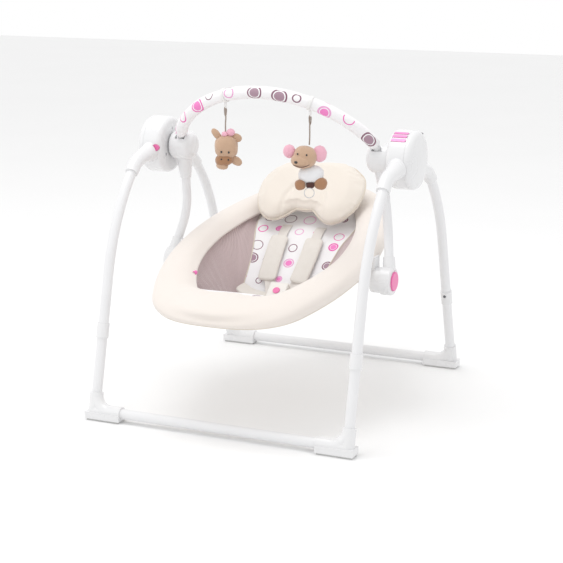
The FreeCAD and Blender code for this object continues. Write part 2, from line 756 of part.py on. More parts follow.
def drive_coil():
    x0 = LEVER_X0 + LEVER_T + MAGNET_T + COIL_GAP
    x1 = HUB_OUTER_X - HUB_WALL
    z = HUB_Z + LEVER_LENGTH - MAGNET_R
    coil = x_cyl(x0, x1, COIL_R, HUB_Y, z)
    return coil.cut(x_cyl(x0 - 1, x1 + 1, COIL_BORE_R, HUB_Y, z))


# ---- toy bar
TOP_RADIUS = (
    (BAR_HALF_WIDTH - BAR_SIDE_RADIUS) ** 2 + BAR_RISE ** 2 - BAR_SIDE_RADIUS ** 2
) / (2 * (BAR_RISE - BAR_SIDE_RADIUS))
TOP_CENTRE_H = BAR_RISE - TOP_RADIUS
BAR_UP = V(0, -math.sin(math.radians(BAR_TILT)), math.cos(math.radians(BAR_TILT)))


def on_arch(x, h):
    """A point of the arch's plane, which holds the hub axis and leans to the foot end."""
    return V(x, HUB_Y, HUB_Z) + BAR_UP * h


def arch_path(start_h):
    """Side arc, top arc and side arc, tangent to each other, from a height over the axis."""
    side_x = BAR_HALF_WIDTH - BAR_SIDE_RADIUS
    join = math.atan2(side_x, -TOP_CENTRE_H)
    a0 = math.asin(start_h / BAR_SIDE_RADIUS)
    a1 = math.pi / 2 - join
    am = (a0 + a1) / 2

    def side(sign, a):
        return on_arch(sign * (side_x + BAR_SIDE_RADIUS * math.cos(a)), BAR_SIDE_RADIUS * math.sin(a))

    top = on_arch(0, BAR_RISE)
    edges = [
        Part.Arc(side(-1, a0), side(-1, am), side(-1, a1)).toShape(),
        Part.Arc(side(-1, a1), top, side(1, a1)).toShape(),
        Part.Arc(side(1, a1), side(1, am), side(1, a0)).toShape(),
    ]
    return Part.Wire(edges)


def bar_socket():
    ring = x_cyl(KNUCKLE_X - SOCKET_HALF, KNUCKLE_X + SOCKET_HALF, SOCKET_R - LOOSE_FIT)
    stub = cyl(V(KNUCKLE_X, HUB_Y, HUB_Z), BAR_UP, BAR_D / 2 + SOCKET_STUB_WALL, SOCKET_STUB_END)
    body = fuse(ring, stub)
    body = body.cut(x_cyl(KNUCKLE_INNER_X, KNUCKLE_OUTER_X, AXLE_R + RUN_FIT))
    return body.cut(sweep(arch_path(BAR_START), BAR_D / 2 + SEAT_FIT))


def toy_bar_tube():
    path = arch_path(BAR_START)
    return pipe(path, BAR_D, BAR_WALL)


def toy_bar_sleeve():
    path = arch_path(SLEEVE_START)
    return sweep(path, SLEEVE_D / 2).cut(sweep(path, BAR_D / 2 + SOFT_GAP))


# ---- toys
def arch_spot(x):
    """Point of the bar over an x, and the bar's direction there, towards +X."""
    h = TOP_CENTRE_H + math.sqrt(TOP_RADIUS ** 2 - x * x)
    lean = math.asin(x / TOP_RADIUS)
    tangent = X_AXIS * math.cos(lean) - BAR_UP * math.sin(lean)
    return on_arch(x, h), tangent


def toy_loop(x):
    spot, tangent = arch_spot(x)
    inner = SLEEVE_D / 2 + SOFT_GAP
    start = spot - tangent * (LOOP_WIDTH / 2)
    ring = cyl(start, tangent, inner + LOOP_WALL, LOOP_WIDTH)
    tab_top = -inner
    tab_bottom = tab_top - LOOP_WALL - LOOP_TAB
    tab = box(-LOOP_WIDTH / 2, LOOP_WIDTH / 2, -LOOP_TAB_T / 2, LOOP_TAB_T / 2, tab_bottom, tab_top)
    tab.translate(spot)
    body = fuse(ring, tab)
    return body.cut(cyl(spot - tangent * LOOP_WIDTH * 2, tangent, inner, LOOP_WIDTH * 4))


def cord_top(x):
    spot, _ = arch_spot(x)
    return spot - Z_AXIS * (SLEEVE_D / 2 + SOFT_GAP + LOOP_WALL + LOOP_TAB)


def cord_points(x, route):
    top = cord_top(x)
    return [V(top.x + dx, top.y, top.z - drop) for dx, drop in route]


def toy_cord(x, route, extra=0.0):
    """The cord, or its pocket in the toy when extra is given."""
    points = cord_points(x, route)
    radii = []
    for i in range(1, len(points) - 1):
        run_in = points[i] - points[i - 1]
        run_out = points[i + 1] - points[i]
        shorter = min(run_in.Length, run_out.Length)
        radii.append(CORD_BEND_SHARE * shorter / math.tan(run_in.getAngle(run_out) / 2))
    return sweep(bent_path(points, radii), CORD_D / 2 + extra)


def left_toy():
    """A plush head that hangs upside down, with its muzzle below."""
    end = cord_points(TOY_LEFT_X, TOY_LEFT_CORD)[-1]
    head = Part.makeSphere(TOY_HEAD_R, end - Z_AXIS * (TOY_HEAD_R - CORD_TUCK))
    muzzle = Part.makeSphere(TOY_MUZZLE_R, end - Z_AXIS * TOY_MUZZLE_DROP)
    return fuse(head, muzzle).cut(toy_cord(TOY_LEFT_X, TOY_LEFT_CORD, SEAT_FIT))


def right_toy():
    """A plush puppy with a round head over a small body."""
    end = cord_points(TOY_RIGHT_X, TOY_RIGHT_CORD)[-1]
    head = Part.makeSphere(TOY_HEAD_R, end - Z_AXIS * (TOY_HEAD_R - CORD_TUCK))
    body = Part.makeSphere(TOY_BODY_R, end - Z_AXIS * TOY_BODY_DROP)
    return fuse(head, body).cut(toy_cord(TOY_RIGHT_X, TOY_RIGHT_CORD, SEAT_FIT))


# ---- seat, drawn flat about its own middle and then tilted into place
def in_seat(shape):
    placed = shape.copy()
    placed.rotate(V(0, 0, 0), X_AXIS, SEAT_TILT)
    placed.translate(V(0, SEAT_Y, SEAT_Z))
    return placed


def oval_path(half_width, half_length, end_radius, w=0.0):
    """An oval of four tangent arcs: two ends and two long sides."""
    reach = half_length - end_radius
    side_radius = (half_width ** 2 + reach ** 2 - end_radius ** 2) / (2 * (half_width - end_radius))
    turn = math.atan2(reach, side_radius - half_width)
    tx = half_width - side_radius + side_radius * math.cos(turn)
    tv = side_radius * math.sin(turn)
    right = V(half_width, 0, w)
    corners = [V(tx, -tv, w), V(tx, tv, w), V(-tx, tv, w), V(-tx, -tv, w)]
    edges = [
        Part.Arc(corners[0], right, corners[1]).toShape(),
        Part.Arc(corners[1], V(0, half_length, w), corners[2]).toShape(),
        Part.Arc(corners[2], V(-half_width, 0, w), corners[3]).toShape(),
        Part.Arc(corners[3], V(0, -half_length, w), corners[0]).toShape(),
    ]
    return Part.Wire(edges)


RING_HALF_WIDTH = SEAT_HALF_WIDTH - BORDER_R
RING_HALF_LENGTH = SEAT_HALF_LENGTH - BORDER_R
RING_END = SEAT_END_RADIUS - BORDER_R


def ring(radius):
    return sweep(oval_path(RING_HALF_WIDTH, RING_HALF_LENGTH, RING_END), radius)


def seat_bows():
    """The seat's two bent tubes: a foot bow and a head bow that meet in the side brackets."""
    tube = ring(SEAT_TUBE_D / 2)
    core = ring(SEAT_TUBE_D / 2 - SEAT_TUBE_WALL)
    reach = SEAT_HALF_LENGTH
    wide = SEAT_HALF_WIDTH
    head = box(-wide, wide, SOFT_GAP, reach, -BORDER_R, BORDER_R)
    foot = box(-wide, wide, -reach, -SOFT_GAP, -BORDER_R, BORDER_R)
    return [in_seat(tube.common(half).cut(core)) for half in (foot, head)]


def floor_prism(lift, half_width):
    """Everything between the sling's floor line, raised by lift, and the rim plane."""
    pts = [V(-half_width, v, w + lift) for v, w in SLING_FLOOR]
    pts.append(V(-half_width, SLING_FLOOR[-1][0], SLING_TOP + lift))
    pts.append(V(-half_width, SLING_FLOOR[0][0], SLING_TOP + lift))
    pts.append(pts[0])
    return Part.Face(Part.makePolygon(pts)).extrude(V(2 * half_width, 0, 0))


def oval_prism(half_width, half_length, end_radius):
    face = Part.Face(oval_path(half_width, half_length, end_radius, -SEAT_DROP))
    return face.extrude(V(0, 0, 2 * SEAT_DROP))


def seat_sling():
    inset = BORDER_R + SOFT_GAP
    hw = RING_HALF_WIDTH - inset
    hl = RING_HALF_LENGTH - inset
    er = RING_END - inset
    outer = floor_prism(0, RING_HALF_WIDTH).common(oval_prism(hw, hl, er))
    hollow = oval_prism(hw - SLING_T, hl - SLING_T, er - SLING_T)
    inner = floor_prism(SLING_T, RING_HALF_WIDTH).common(hollow)
    return in_seat(outer.cut(inner))


def bracket_block(grow=0.0):
    """The saddle that joins the recline disc to the seat tube."""
    centre = recline_centre(0)
    return box(
        RING_HALF_WIDTH - BRACKET_WALL - SEAT_TUBE_D / 2 - grow, RECLINE_INNER_X + BRACKET_LAP + grow,
        centre.y - BRACKET_HALF - grow, centre.y + BRACKET_HALF + grow,
        centre.z - BRACKET_LAP - grow, SEAT_Z + BRACKET_LAP + grow,
    )


def recline_disc():
    centre = recline_centre(RECLINE_INNER_X)
    disc = cyl(centre, X_AXIS, RECLINE_R - RECLINE_DISC_STEP, RECLINE_DISC_THICK)
    pin = cyl(centre, X_AXIS, RECLINE_PIN_R, RECLINE_DISC_THICK + RECLINE_GAP + RECLINE_PIN_LENGTH)
    body = fuse(disc, pin, bracket_block())
    return body.cut(in_seat(ring(SEAT_TUBE_D / 2 + SEAT_FIT)))


def seat_border():
    roll = in_seat(ring(BORDER_R).cut(ring(SEAT_TUBE_D / 2 + SOFT_GAP)))
    block = bracket_block(SOFT_GAP)
    disc_r = RECLINE_R - RECLINE_DISC_STEP + SOFT_GAP
    disc = cyl(recline_centre(RECLINE_INNER_X - SOFT_GAP), X_AXIS, disc_r, RECLINE_DISC_THICK)
    return roll.cut(block).cut(mirrored(block)).cut(disc).cut(mirrored(disc))


def pillow():
    """A crescent head pillow: a wide oval with two lobes below and a notch between them."""
    top = Part.makeCylinder(PILLOW_HALF_WIDTH, PILLOW_T, V(0, 0, -PILLOW_T / 2))
    squash = FreeCAD.Matrix()
    squash.scale(1, PILLOW_HALF_LENGTH / PILLOW_HALF_WIDTH, 1)
    top = top.transformGeometry(squash)
    top.translate(V(0, PILLOW_TOP_V, 0))
    lobes = [
        Part.makeCylinder(PILLOW_LOBE_R, PILLOW_T, V(s * PILLOW_LOBE_X, PILLOW_LOBE_V, -PILLOW_T / 2))
        for s in (-1, 1)
    ]
    body = fuse(top, *lobes)
    body.rotate(V(0, 0, 0), X_AXIS, PILLOW_LEAN)
    body.translate(V(0, PILLOW_V, PILLOW_W))
    return in_seat(body)


def harness_straps():
    straps = []
    for side in (-1, 1):
        long = STRAP_LENGTH / 2
        strap = box(-STRAP_W / 2, STRAP_W / 2, -long, long, -STRAP_T / 2, STRAP_T / 2)
        strap.rotate(V(0, 0, 0), X_AXIS, STRAP_LEAN)
        strap.translate(V(side * STRAP_X, STRAP_V, STRAP_W0))
        straps.append(in_seat(strap))
    return straps


def buckle_block():
    block = box(-BUCKLE_W / 2, BUCKLE_W / 2, -BUCKLE_L / 2, BUCKLE_L / 2, -BUCKLE_T / 2, BUCKLE_T / 2)
    return block.makeFillet(BUCKLE_ROUND, block.Edges)


def buckle_place(shape):
    """Lays a shape on the sling's sloping floor, at the middle of the seat."""
    placed = shape.copy()
    placed.rotate(V(0, 0, 0), X_AXIS, BUCKLE_LEAN)
    placed.translate(V(0, BUCKLE_V, BUCKLE_W0))
    return in_seat(placed)


def buckle():
    floor = BUCKLE_T / 2 - BUCKLE_BUTTON_TRAVEL - BUCKLE_BUTTON_DEPTH - BUTTON_FIT
    recess = Part.makeCylinder(BUCKLE_BUTTON_R + BUTTON_FIT, BUCKLE_T, V(0, 0, floor))
    return buckle_place(buckle_block().cut(recess))


def buckle_button():
    start = BUCKLE_T / 2 - BUCKLE_BUTTON_DEPTH
    disc = Part.makeCylinder(BUCKLE_BUTTON_R, BUCKLE_BUTTON_DEPTH + BUCKLE_BUTTON_PROUD, V(0, 0, start))
    return buckle_place(disc)


def circuit_board():
    w, l, t = BOARD_SIZE
    board = box(-w / 2, w / 2, -l / 2, l / 2, -t / 2, t / 2)
    board.rotate(V(0, 0, 0), X_AXIS, CONTROL_ANGLE)
    board.translate(polar(HUB_R - BOARD_DEPTH, 90 + CONTROL_ANGLE, (HUB_INNER_X + HUB_SPLIT_X) / 2))
    return board


def dc_inlet():
    """The power jack in the rim of the control hub's cap, and the hole it sits in."""
    start = polar(HUB_R - INLET_LENGTH - 1, INLET_ANGLE, HUB_OUTER_X - INLET_INSET)
    out = unit(start - V(start.x, HUB_Y, HUB_Z))
    body = cyl(start, out, INLET_R, INLET_LENGTH)
    hole = cyl(start, out, INLET_R + SEAT_FIT, INLET_LENGTH + OVERRUN)
    return body.cut(cyl(start + out * INLET_FLOOR, out, INLET_BORE_R, INLET_LENGTH)), hole


# ---- write the nodes
os.makedirs("parts", exist_ok=True)


def save(name, *shapes):
    solids = []
    for shape in shapes:
        solids.extend(shape.Solids)
    for solid in solids:
        if not solid.isValid():
            print("INVALID", name)
    whole = solids[0] if len(solids) == 1 else Part.makeCompound(solids)
    b = whole.BoundBox
    reach = f"x {b.XMin:.1f}..{b.XMax:.1f} y {b.YMin:.1f}..{b.YMax:.1f} z {b.ZMin:.1f}..{b.ZMax:.1f}"
    print(f"{name}: {len(solids)} solids, {whole.Volume / 1000:.1f} cm3, {reach}")
    whole.exportStep(f"parts/{name}.step")


def save_pair(name, shape):
    save(name + "_right", shape)
    save(name + "_left", mirrored(shape))


housing = fuse(hub_housing(), *screw_bosses())
for hole in screw_holes():
    housing = housing.cut(hole)
save("hub_housing_left", mirrored(housing.cut(fold_button(FOLD_ANGLE_LEFT, BUTTON_FIT))))
housing = housing.cut(fold_button(FOLD_ANGLE_RIGHT, BUTTON_FIT))
for i in range(3):
    housing = housing.cut(control_button(i, BUTTON_FIT))
save("hub_housing_right", housing)
inlet, inlet_hole = dc_inlet()
cap = hub_cap()
save("hub_cap_left", mirrored(cap))
save("hub_cap_right", cap.cut(inlet_hole))
save("dc_inlet", inlet)
save("hub_screws", *hub_screws(), *[mirrored(s) for s in hub_screws()])
bushes = [axle_bush(HUB_INNER_X), axle_bush(BOSS_END_X - BUSH_LENGTH)]
save("axle_bushes", *bushes, *[mirrored(b) for b in bushes])
save("drive_coil", drive_coil())
save("circuit_board", circuit_board())

for side, label in ((-1, "front"), (1, "rear")):
    save_pair(label + "_leg", upper_leg(side))
    save(label + "_base_frame", base_frame(side))
    save(label + "_leg_collars", leg_collar(side), mirrored(leg_collar(side)))
    save(label + "_feet", foot_boot(side), mirrored(foot_boot(side)))
    save(label + "_foot_pads", foot_pad(side), mirrored(foot_pad(side)))
    save_pair(label + "_snap_button", snap_button(side))

save_pair("rear_pivot", rear_pivot())
save_pair("knuckle", knuckle())
save_pair("swing_axle", swing_axle())
save_pair("swing_arm", swing_arm())
save_pair("recline_housing", recline_housing())
save_pair("recline_button", recline_button())
save("drive_lever", *drive_lever())

save("toy_bar_sockets", bar_socket(), mirrored(bar_socket()))
save("toy_bar_tube", toy_bar_tube())
save("toy_bar_sleeve", toy_bar_sleeve())
save("toy_left_loop", toy_loop(TOY_LEFT_X))
save("toy_left_cord", toy_cord(TOY_LEFT_X, TOY_LEFT_CORD))
save("toy_left", left_toy())
save("toy_right_loop", toy_loop(TOY_RIGHT_X))
save("toy_right_cord", toy_cord(TOY_RIGHT_X, TOY_RIGHT_CORD))
save("toy_right", right_toy())

save("seat_frame", *seat_bows())
save("recline_discs", recline_disc(), mirrored(recline_disc()))
save("seat_sling", seat_sling())
save("seat_border", seat_border())
save("pillow", pillow())
save("harness_straps", *harness_straps())
save("buckle", buckle())
save("buckle_button", buckle_button())
save("fold_button_left", mirrored(fold_button(FOLD_ANGLE_LEFT)))
save("fold_button_right", fold_button(FOLD_ANGLE_RIGHT))
for i in range(3):
    save(f"control_button_{i + 1}", control_button(i))
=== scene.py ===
import math

import bmesh
import bpy
import numpy as np
from mathutils import Euler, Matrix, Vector


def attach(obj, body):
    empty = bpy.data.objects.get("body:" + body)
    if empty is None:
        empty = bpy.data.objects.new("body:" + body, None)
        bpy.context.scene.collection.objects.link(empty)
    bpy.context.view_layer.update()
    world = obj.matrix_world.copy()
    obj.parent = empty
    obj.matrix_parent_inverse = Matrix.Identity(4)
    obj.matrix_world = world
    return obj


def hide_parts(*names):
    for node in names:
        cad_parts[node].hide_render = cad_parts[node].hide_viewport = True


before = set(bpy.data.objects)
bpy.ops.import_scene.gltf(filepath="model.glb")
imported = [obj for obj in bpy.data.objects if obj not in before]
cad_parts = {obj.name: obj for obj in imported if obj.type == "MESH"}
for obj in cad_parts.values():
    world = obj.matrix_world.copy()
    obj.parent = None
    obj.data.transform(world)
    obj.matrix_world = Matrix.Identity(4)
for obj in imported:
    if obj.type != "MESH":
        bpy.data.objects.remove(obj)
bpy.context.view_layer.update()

# ---------------------------------------------------------------- studio
# A pale floor that runs off to a white surround, lit by large soft lamps,
# with a long lens at the swing's front right corner.
camera = bpy.data.objects.new("camera", bpy.data.cameras.new("camera"))
bpy.context.collection.objects.link(camera)
camera.data.lens = 95.5
camera.data.sensor_width = 36.0
look_at = Vector((-0.0028, 0.0146, 0.2588))
turn, rise = math.radians(23.99), math.radians(13.55)
back = Vector((math.sin(turn) * math.cos(rise), -math.cos(turn) * math.cos(rise), math.sin(rise)))
camera.location = look_at + back * 3.36
camera.rotation_euler = back.to_track_quat("Z", "Y").to_euler()
bpy.context.scene.camera = camera
bpy.context.scene.view_settings.view_transform = "Standard"

floor_mesh = bpy.data.meshes.new("floor")
floor_mesh.from_pydata([(-9, -9, 0), (9, -9, 0), (9, 9, 0), (-9, 9, 0)], [], [(0, 1, 2, 3)])
floor = bpy.data.objects.new("floor", floor_mesh)
bpy.context.collection.objects.link(floor)

world = bpy.data.worlds.new("studio")
world.use_nodes = True
world.node_tree.nodes["Background"].inputs["Color"].default_value = (1.0, 1.0, 1.0, 1)
world.node_tree.nodes["Background"].inputs["Strength"].default_value = 1.0
bpy.context.scene.world = world


def lamp(name, place, size, power):
    """A square soft box at a place, aimed at the swing."""
    light = bpy.data.lights.new(name, "AREA")
    light.size, light.energy = size, power
    box = bpy.data.objects.new(name, light)
    box.location = place
    box.rotation_euler = (Vector(place) - look_at).to_track_quat("Z", "Y").to_euler()
    bpy.context.collection.objects.link(box)


lamp("key", (-0.5, -0.4, 3.2), 1.5, 27)
lamp("fill", (-2.4, -2.2, 1.4), 1.6, 5)


# ---------------------------------------------------------------- white mouldings
# Hubs, knuckles, recline housings, collars and boots are gloss white ABS.
# Moulding leaves a faint orange peel and a slight cloudiness in the gloss.
class Signal:
    """A node's output, with arithmetic that adds Math nodes."""

    def __init__(self, paint, socket):
        self.paint, self.socket = paint, socket

    def _sum(self, operation, *values):
        return self.paint.add("ShaderNodeMath", {"operation": operation}, values)

    def __add__(self, other):
        return self._sum("ADD", self, other)

    def __sub__(self, other):
        return self._sum("SUBTRACT", self, other)

    def __rsub__(self, other):
        return self._sum("SUBTRACT", other, self)

    def __mul__(self, other):
        return self._sum("MULTIPLY", self, other)

    def __lt__(self, other):
        return self._sum("LESS_THAN", self, other)

    def __gt__(self, other):
        return self._sum("GREATER_THAN", self, other)

    def __abs__(self):
        return self._sum("ABSOLUTE", self)

    __radd__, __rmul__ = __add__, __mul__


class Paint:
    """A material's node tree: add() makes any node, and returns its output as a Signal."""

    def __init__(self, name, **fixed):
        self.material = bpy.data.materials.new(name)
        self.material.use_nodes = True
        self.tree = self.material.node_tree
        self.shader = self.tree.nodes["Principled BSDF"]
        for socket, value in fixed.items():
            self.shader.inputs[socket.replace("_", " ")].default_value = value
        self.place = Signal(self, self.tree.nodes.new("ShaderNodeTexCoord").outputs["Object"])

    def put(self, socket, value):
        """Links a Signal to a socket, or sets a plain value on it."""
        if isinstance(value, Signal):
            self.tree.links.new(value.socket, socket)
        else:
            socket.default_value = value

    def add(self, kind, settings=None, values=(), out=0, **named):
        """Makes a node: its settings first, then its inputs by place and by name."""
        node = self.tree.nodes.new(kind)
        for key, value in (settings or {}).items():
            setattr(node, key, value)
        for k, value in enumerate(values):
            self.put(node.inputs[k], value)
        for key, value in named.items():
            self.put(node.inputs[key.replace("_", " ")], value)
        return Signal(self, node.outputs[out])

    def noise(self, scale, detail=2.0, rough=0.5):
        """Soft noise over the object, of this many cells to a metre."""
        return self.add("ShaderNodeTexNoise", Vector=self.place, Scale=scale, Detail=detail, Roughness=rough)

    def waves(self, at, way, scale, distortion=0.0):
        """Parallel bands across a direction."""
        return self.add("ShaderNodeTexWave", {"bands_direction": way}, (), 1, Vector=at, Scale=scale,
                        Distortion=distortion)

    def mix(self, factor, first, second):
        """Colour mix: first where the factor is 0, second where it is 1."""
        node = self.tree.nodes.new("ShaderNodeMix")
        node.data_type = "RGBA"
        self.put(node.inputs[0], factor)
        for socket, value in ((node.inputs[6], first), (node.inputs[7], second)):
            self.put(socket, value if isinstance(value, Signal) else (*value, 1))
        return Signal(self, node.outputs[2])

    def wear(self, **sockets):
        """Sets the shader's own inputs."""
        for key, value in sockets.items():
            self.put(self.shader.inputs[key.replace("_", " ")], value)

    def bump(self, height, strength, distance):
        """Raises the surface by a height map; distance is in metres."""
        bumped = self.add("ShaderNodeBump", Strength=strength, Distance=distance, Height=height)
        self.put(self.shader.inputs["Normal"], bumped)
        return self.material


def moulded(name, colour, shade, rough, grain=900.0, coat=0.25):
    """A moulded plastic: a soft mottle in the colour and gloss, over a fine peel."""
    paint = Paint(name, Coat_Weight=coat, Coat_Roughness=0.12, IOR=1.5)
    mottle = paint.noise(18.0, 3.0)
    paint.wear(Base_Color=paint.mix(mottle, colour, shade), Roughness=mottle * 0.06 + (rough - 0.03))
    return paint.bump(paint.noise(grain), 0.08, 0.0001)


def finish(material, slot, *nodes):
    """Gives CAD pieces their finish."""
    for node in nodes:
        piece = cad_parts[node]
        piece.data.materials.clear()
        piece.data.materials.append(material)


def pair(*names):
    """Each name with its left and right ending."""
    return [name + side for name in names for side in ("_left", "_right")]


white = moulded("white_moulding", (0.79, 0.79, 0.795), (0.76, 0.76, 0.77), 0.27)
finish(white, "white_plastic", *pair("hub_housing", "hub_cap", "knuckle", "recline_housing", "rear_pivot"),
       "front_feet", "rear_feet", "front_leg_collars", "rear_leg_collars", "recline_discs", "toy_bar_sockets")

# ---------------------------------------------------------------- floor sheet
# The floor is a plain matt sheet, a touch off white so that shadows read.
# It isn't part of the swing and belongs to the stage.
sheet = Paint("floor_sheet", Roughness=0.9)
sheet.wear(Base_Color=sheet.mix(sheet.noise(2.0), (0.88, 0.88, 0.88), (0.90, 0.90, 0.90)))
floor.data.materials.append(sheet.material)

# ---------------------------------------------------------------- frame tubes
# Legs, floor bars and swing arms are bent steel tube, powder coated white.
# The powder leaves a fine even stipple and a satin gloss.
powder = moulded("powder_coat", (0.80, 0.80, 0.81), (0.77, 0.77, 0.78), 0.36, 1600.0, 0.1)
finish(powder, "white_tube", *pair("front_leg", "rear_leg", "swing_arm"), "front_base_frame",
       "rear_base_frame", "toy_bar_tube", "seat_frame")

# ---------------------------------------------------------------- coloured buttons
# Thumb buttons on the hubs, the recline buttons and the buckle's press are pink
# gloss mouldings; the leg snaps and the power jack are dark grey.
pink = moulded("pink_moulding", (0.84, 0.17, 0.42), (0.78, 0.13, 0.37), 0.30)
finish(pink, "pink_plastic", *pair("recline_button", "fold_button"), "buckle_button")
pale_pink = moulded("pale_pink_moulding", (0.86, 0.30, 0.60), (0.82, 0.25, 0.55), 0.32)
finish(pale_pink, "pink_plastic", "control_button_1", "control_button_2", "control_button_3")
grey = moulded("grey_moulding", (0.10, 0.10, 0.11), (0.13, 0.13, 0.14), 0.45)
finish(grey, "grey_plastic", *pair("front_snap_button", "rear_snap_button"), "dc_inlet")

# ---------------------------------------------------------------- foot pads
# Thin pads of soft rubber, one under each boot. They stand on the floor and
# keep the frame from sliding.
rubber = moulded("pad_rubber", (0.60, 0.60, 0.59), (0.52, 0.52, 0.51), 0.75, 500.0, 0.0)
finish(rubber, "rubber_pad", "front_foot_pads", "rear_foot_pads")

# ---------------------------------------------------------------- works inside the hubs
# Turned steel axles in nylon bushes, screws, a coil of enamelled wire and a board.
# They stand inside the hub housings, which hide them.
steel = Paint("turned_steel", Metallic=1.0)
turned = steel.waves(steel.place, "X", 700.0, 1.5)
steel.wear(Base_Color=steel.mix(steel.noise(60.0), (0.55, 0.56, 0.58), (0.68, 0.69, 0.70)),
           Roughness=turned * 0.12 + 0.22)
finish(steel.bump(turned, 0.1, 0.0001), "steel", *pair("swing_axle"), "hub_screws", "drive_lever")
finish(moulded("natural_nylon", (0.80, 0.78, 0.70), (0.75, 0.72, 0.63), 0.5), "nylon", "axle_bushes")
wire = Paint("wound_wire", Metallic=0.8)
turns = wire.waves(wire.place, "X", 500.0)
wire.wear(Base_Color=wire.mix(turns, (0.30, 0.12, 0.05), (0.72, 0.36, 0.16)), Roughness=turns * 0.2 + 0.25)
finish(wire.bump(turns, 0.5, 0.0003), "coil_copper", "drive_coil")
board = Paint("circuit_board", Roughness=0.4)
tracks = board.add("ShaderNodeTexVoronoi", {"feature": "DISTANCE_TO_EDGE"}, Vector=board.place, Scale=260.0)
board.wear(Base_Color=board.mix(tracks < 0.05, (0.03, 0.16, 0.07), (0.10, 0.32, 0.14)))
finish(board.bump(tracks, 0.2, 0.0001), "board_green", "circuit_board")

# ---------------------------------------------------------------- seat border
# A wide padded band of cream plush round the whole rim. It wraps the seat tube
# outside, swells over foam, and is sewn down to the seat along its inner edge.
MM = 0.001
SEAT_AT = np.array([0.0, -18.5, 336.0])
SEAT_LEAN = math.radians(13.75)
RIM_WIDE, RIM_LONG, RIM_END = 231.0, 362.5, 192.0


def in_seat(points):
    """Seat sizes in millimetres (across, along, up from the rim) to the frame's metres."""
    x, v, w = np.moveaxis(np.asarray(points, float), -1, 0)
    y = SEAT_AT[1] + v * math.cos(SEAT_LEAN) - w * math.sin(SEAT_LEAN)
    z = SEAT_AT[2] + v * math.sin(SEAT_LEAN) + w * math.cos(SEAT_LEAN)
    return np.stack([x, y, z], axis=-1) * MM


def rim(angle, inset):
    """The rim oval, four tangent arcs, moved inward by an inset. angle is the outward direction:
    the arc's centre plus its radius less the inset, along that direction."""
    reach = RIM_LONG - RIM_END
    side_r = (RIM_WIDE ** 2 + reach ** 2 - RIM_END ** 2) / (2 * (RIM_WIDE - RIM_END))
    join = math.atan2(reach, side_r - RIM_WIDE)
    c, s = np.cos(angle), np.sin(angle)
    at_end = np.abs(s) > math.sin(join)
    cx = np.where(at_end, 0.0, -np.sign(c) * (side_r - RIM_WIDE))
    cv = np.where(at_end, np.sign(s) * reach, 0.0)
    radius = np.where(at_end, RIM_END, side_r) - inset
    return cx + radius * c, cv + radius * s


def band_width(angle):
    """Width of the border: narrow at the sides, wide at the foot, wide at the head."""
    s = np.sin(angle)
    return 76.0 + np.where(s < 0, 64.0 * np.abs(s) ** 1.7, 36.0 * np.abs(s) ** 3)


def foot_share(angle):
    """How far a direction points to the foot end, from 0 at the sides to 1."""
    return np.clip(-np.sin(angle), 0, 1)


def loop_through(points, per_span):
    """A closed smooth line through control points on the first axis (Catmull-Rom spans)."""
    t = np.linspace(0, 1, per_span, endpoint=False).reshape((1, -1) + (1,) * (points.ndim - 1))
    p0, p1, p2, p3 = (np.roll(points, k, axis=0)[:, None] for k in (1, 0, -1, -2))
    line = 0.5 * (2 * p1 + (p2 - p0) * t + (2 * p0 - 5 * p1 + 4 * p2 - p3) * t ** 2
                  + (3 * p1 - p0 - 3 * p2 + p3) * t ** 3)
    return line.reshape((-1,) + points.shape[1:])


def surface(name, points, wrap=(False, False), uv=None, closed=True, flip=False):
    """A smooth mesh from a grid of points. wrap joins the last row or column to the first,
    and uv gives each grid point's place on the cloth, one more row or column where it wraps."""
    rows, columns = points.shape[:2]
    i, j = np.meshgrid(np.arange(rows - (not wrap[0])), np.arange(columns - (not wrap[1])), indexing="ij")

    def at(a, b):
        return (a % rows) * columns + (b % columns)

    faces = np.stack([at(i, j), at(i + 1, j), at(i + 1, j + 1), at(i, j + 1)], axis=-1).reshape(-1, 4)
    mesh = bpy.data.meshes.new(name)
    mesh.from_pydata(points.reshape(-1, 3).tolist(), [], faces.tolist())
    if uv is not None:
        corners = np.stack([uv[i, j], uv[i + 1, j], uv[i + 1, j + 1], uv[i, j + 1]], axis=-2)
        mesh.uv_layers.new(name="cloth").data.foreach_set("uv", corners.reshape(-1))
    work = bmesh.new()
    work.from_mesh(mesh)
    bmesh.ops.remove_doubles(work, verts=work.verts, dist=1e-6)
    if closed:
        bmesh.ops.recalc_face_normals(work, faces=work.faces)
    elif flip:
        bmesh.ops.reverse_faces(work, faces=work.faces)
    work.to_mesh(mesh)
    work.free()
    mesh.polygons.foreach_set("use_smooth", np.ones(len(mesh.polygons), bool))
    piece = bpy.data.objects.new(name, mesh)
    bpy.context.collection.objects.link(piece)
    return piece


def dress(piece, body, material, slot, *nodes):
    """Sets a piece's material and body, and hides the CAD nodes that it stands for."""
    piece.data.materials.clear()
    piece.data.materials.append(material)
    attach(piece, body)
    if nodes:
        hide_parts(*nodes)
    return piece


PIPING_SIDES = 10


def piping(name, line, radius, closed=True):
    """A round cord along a line of points: circles of the radius square to the line."""
    ahead = np.roll(line, -1, axis=0) - np.roll(line, 1, axis=0) if closed else np.gradient(line, axis=0)
    ahead /= np.linalg.norm(ahead, axis=1, keepdims=True)
    side = np.cross(ahead, (0.0, 0.31, 0.95))
    side /= np.linalg.norm(side, axis=1, keepdims=True)
    up = np.cross(side, ahead)
    a = np.linspace(0, 2 * np.pi, PIPING_SIDES, endpoint=False)[None, :, None]
    tube = line[:, None] + radius * (np.cos(a) * side[:, None] + np.sin(a) * up[:, None])
    if not closed:
        first, last = (np.repeat(line[k][None, None], PIPING_SIDES, axis=1) for k in (0, -1))
        tube = np.concatenate([first, tube, last])
    return surface(name, tube, (closed, True))


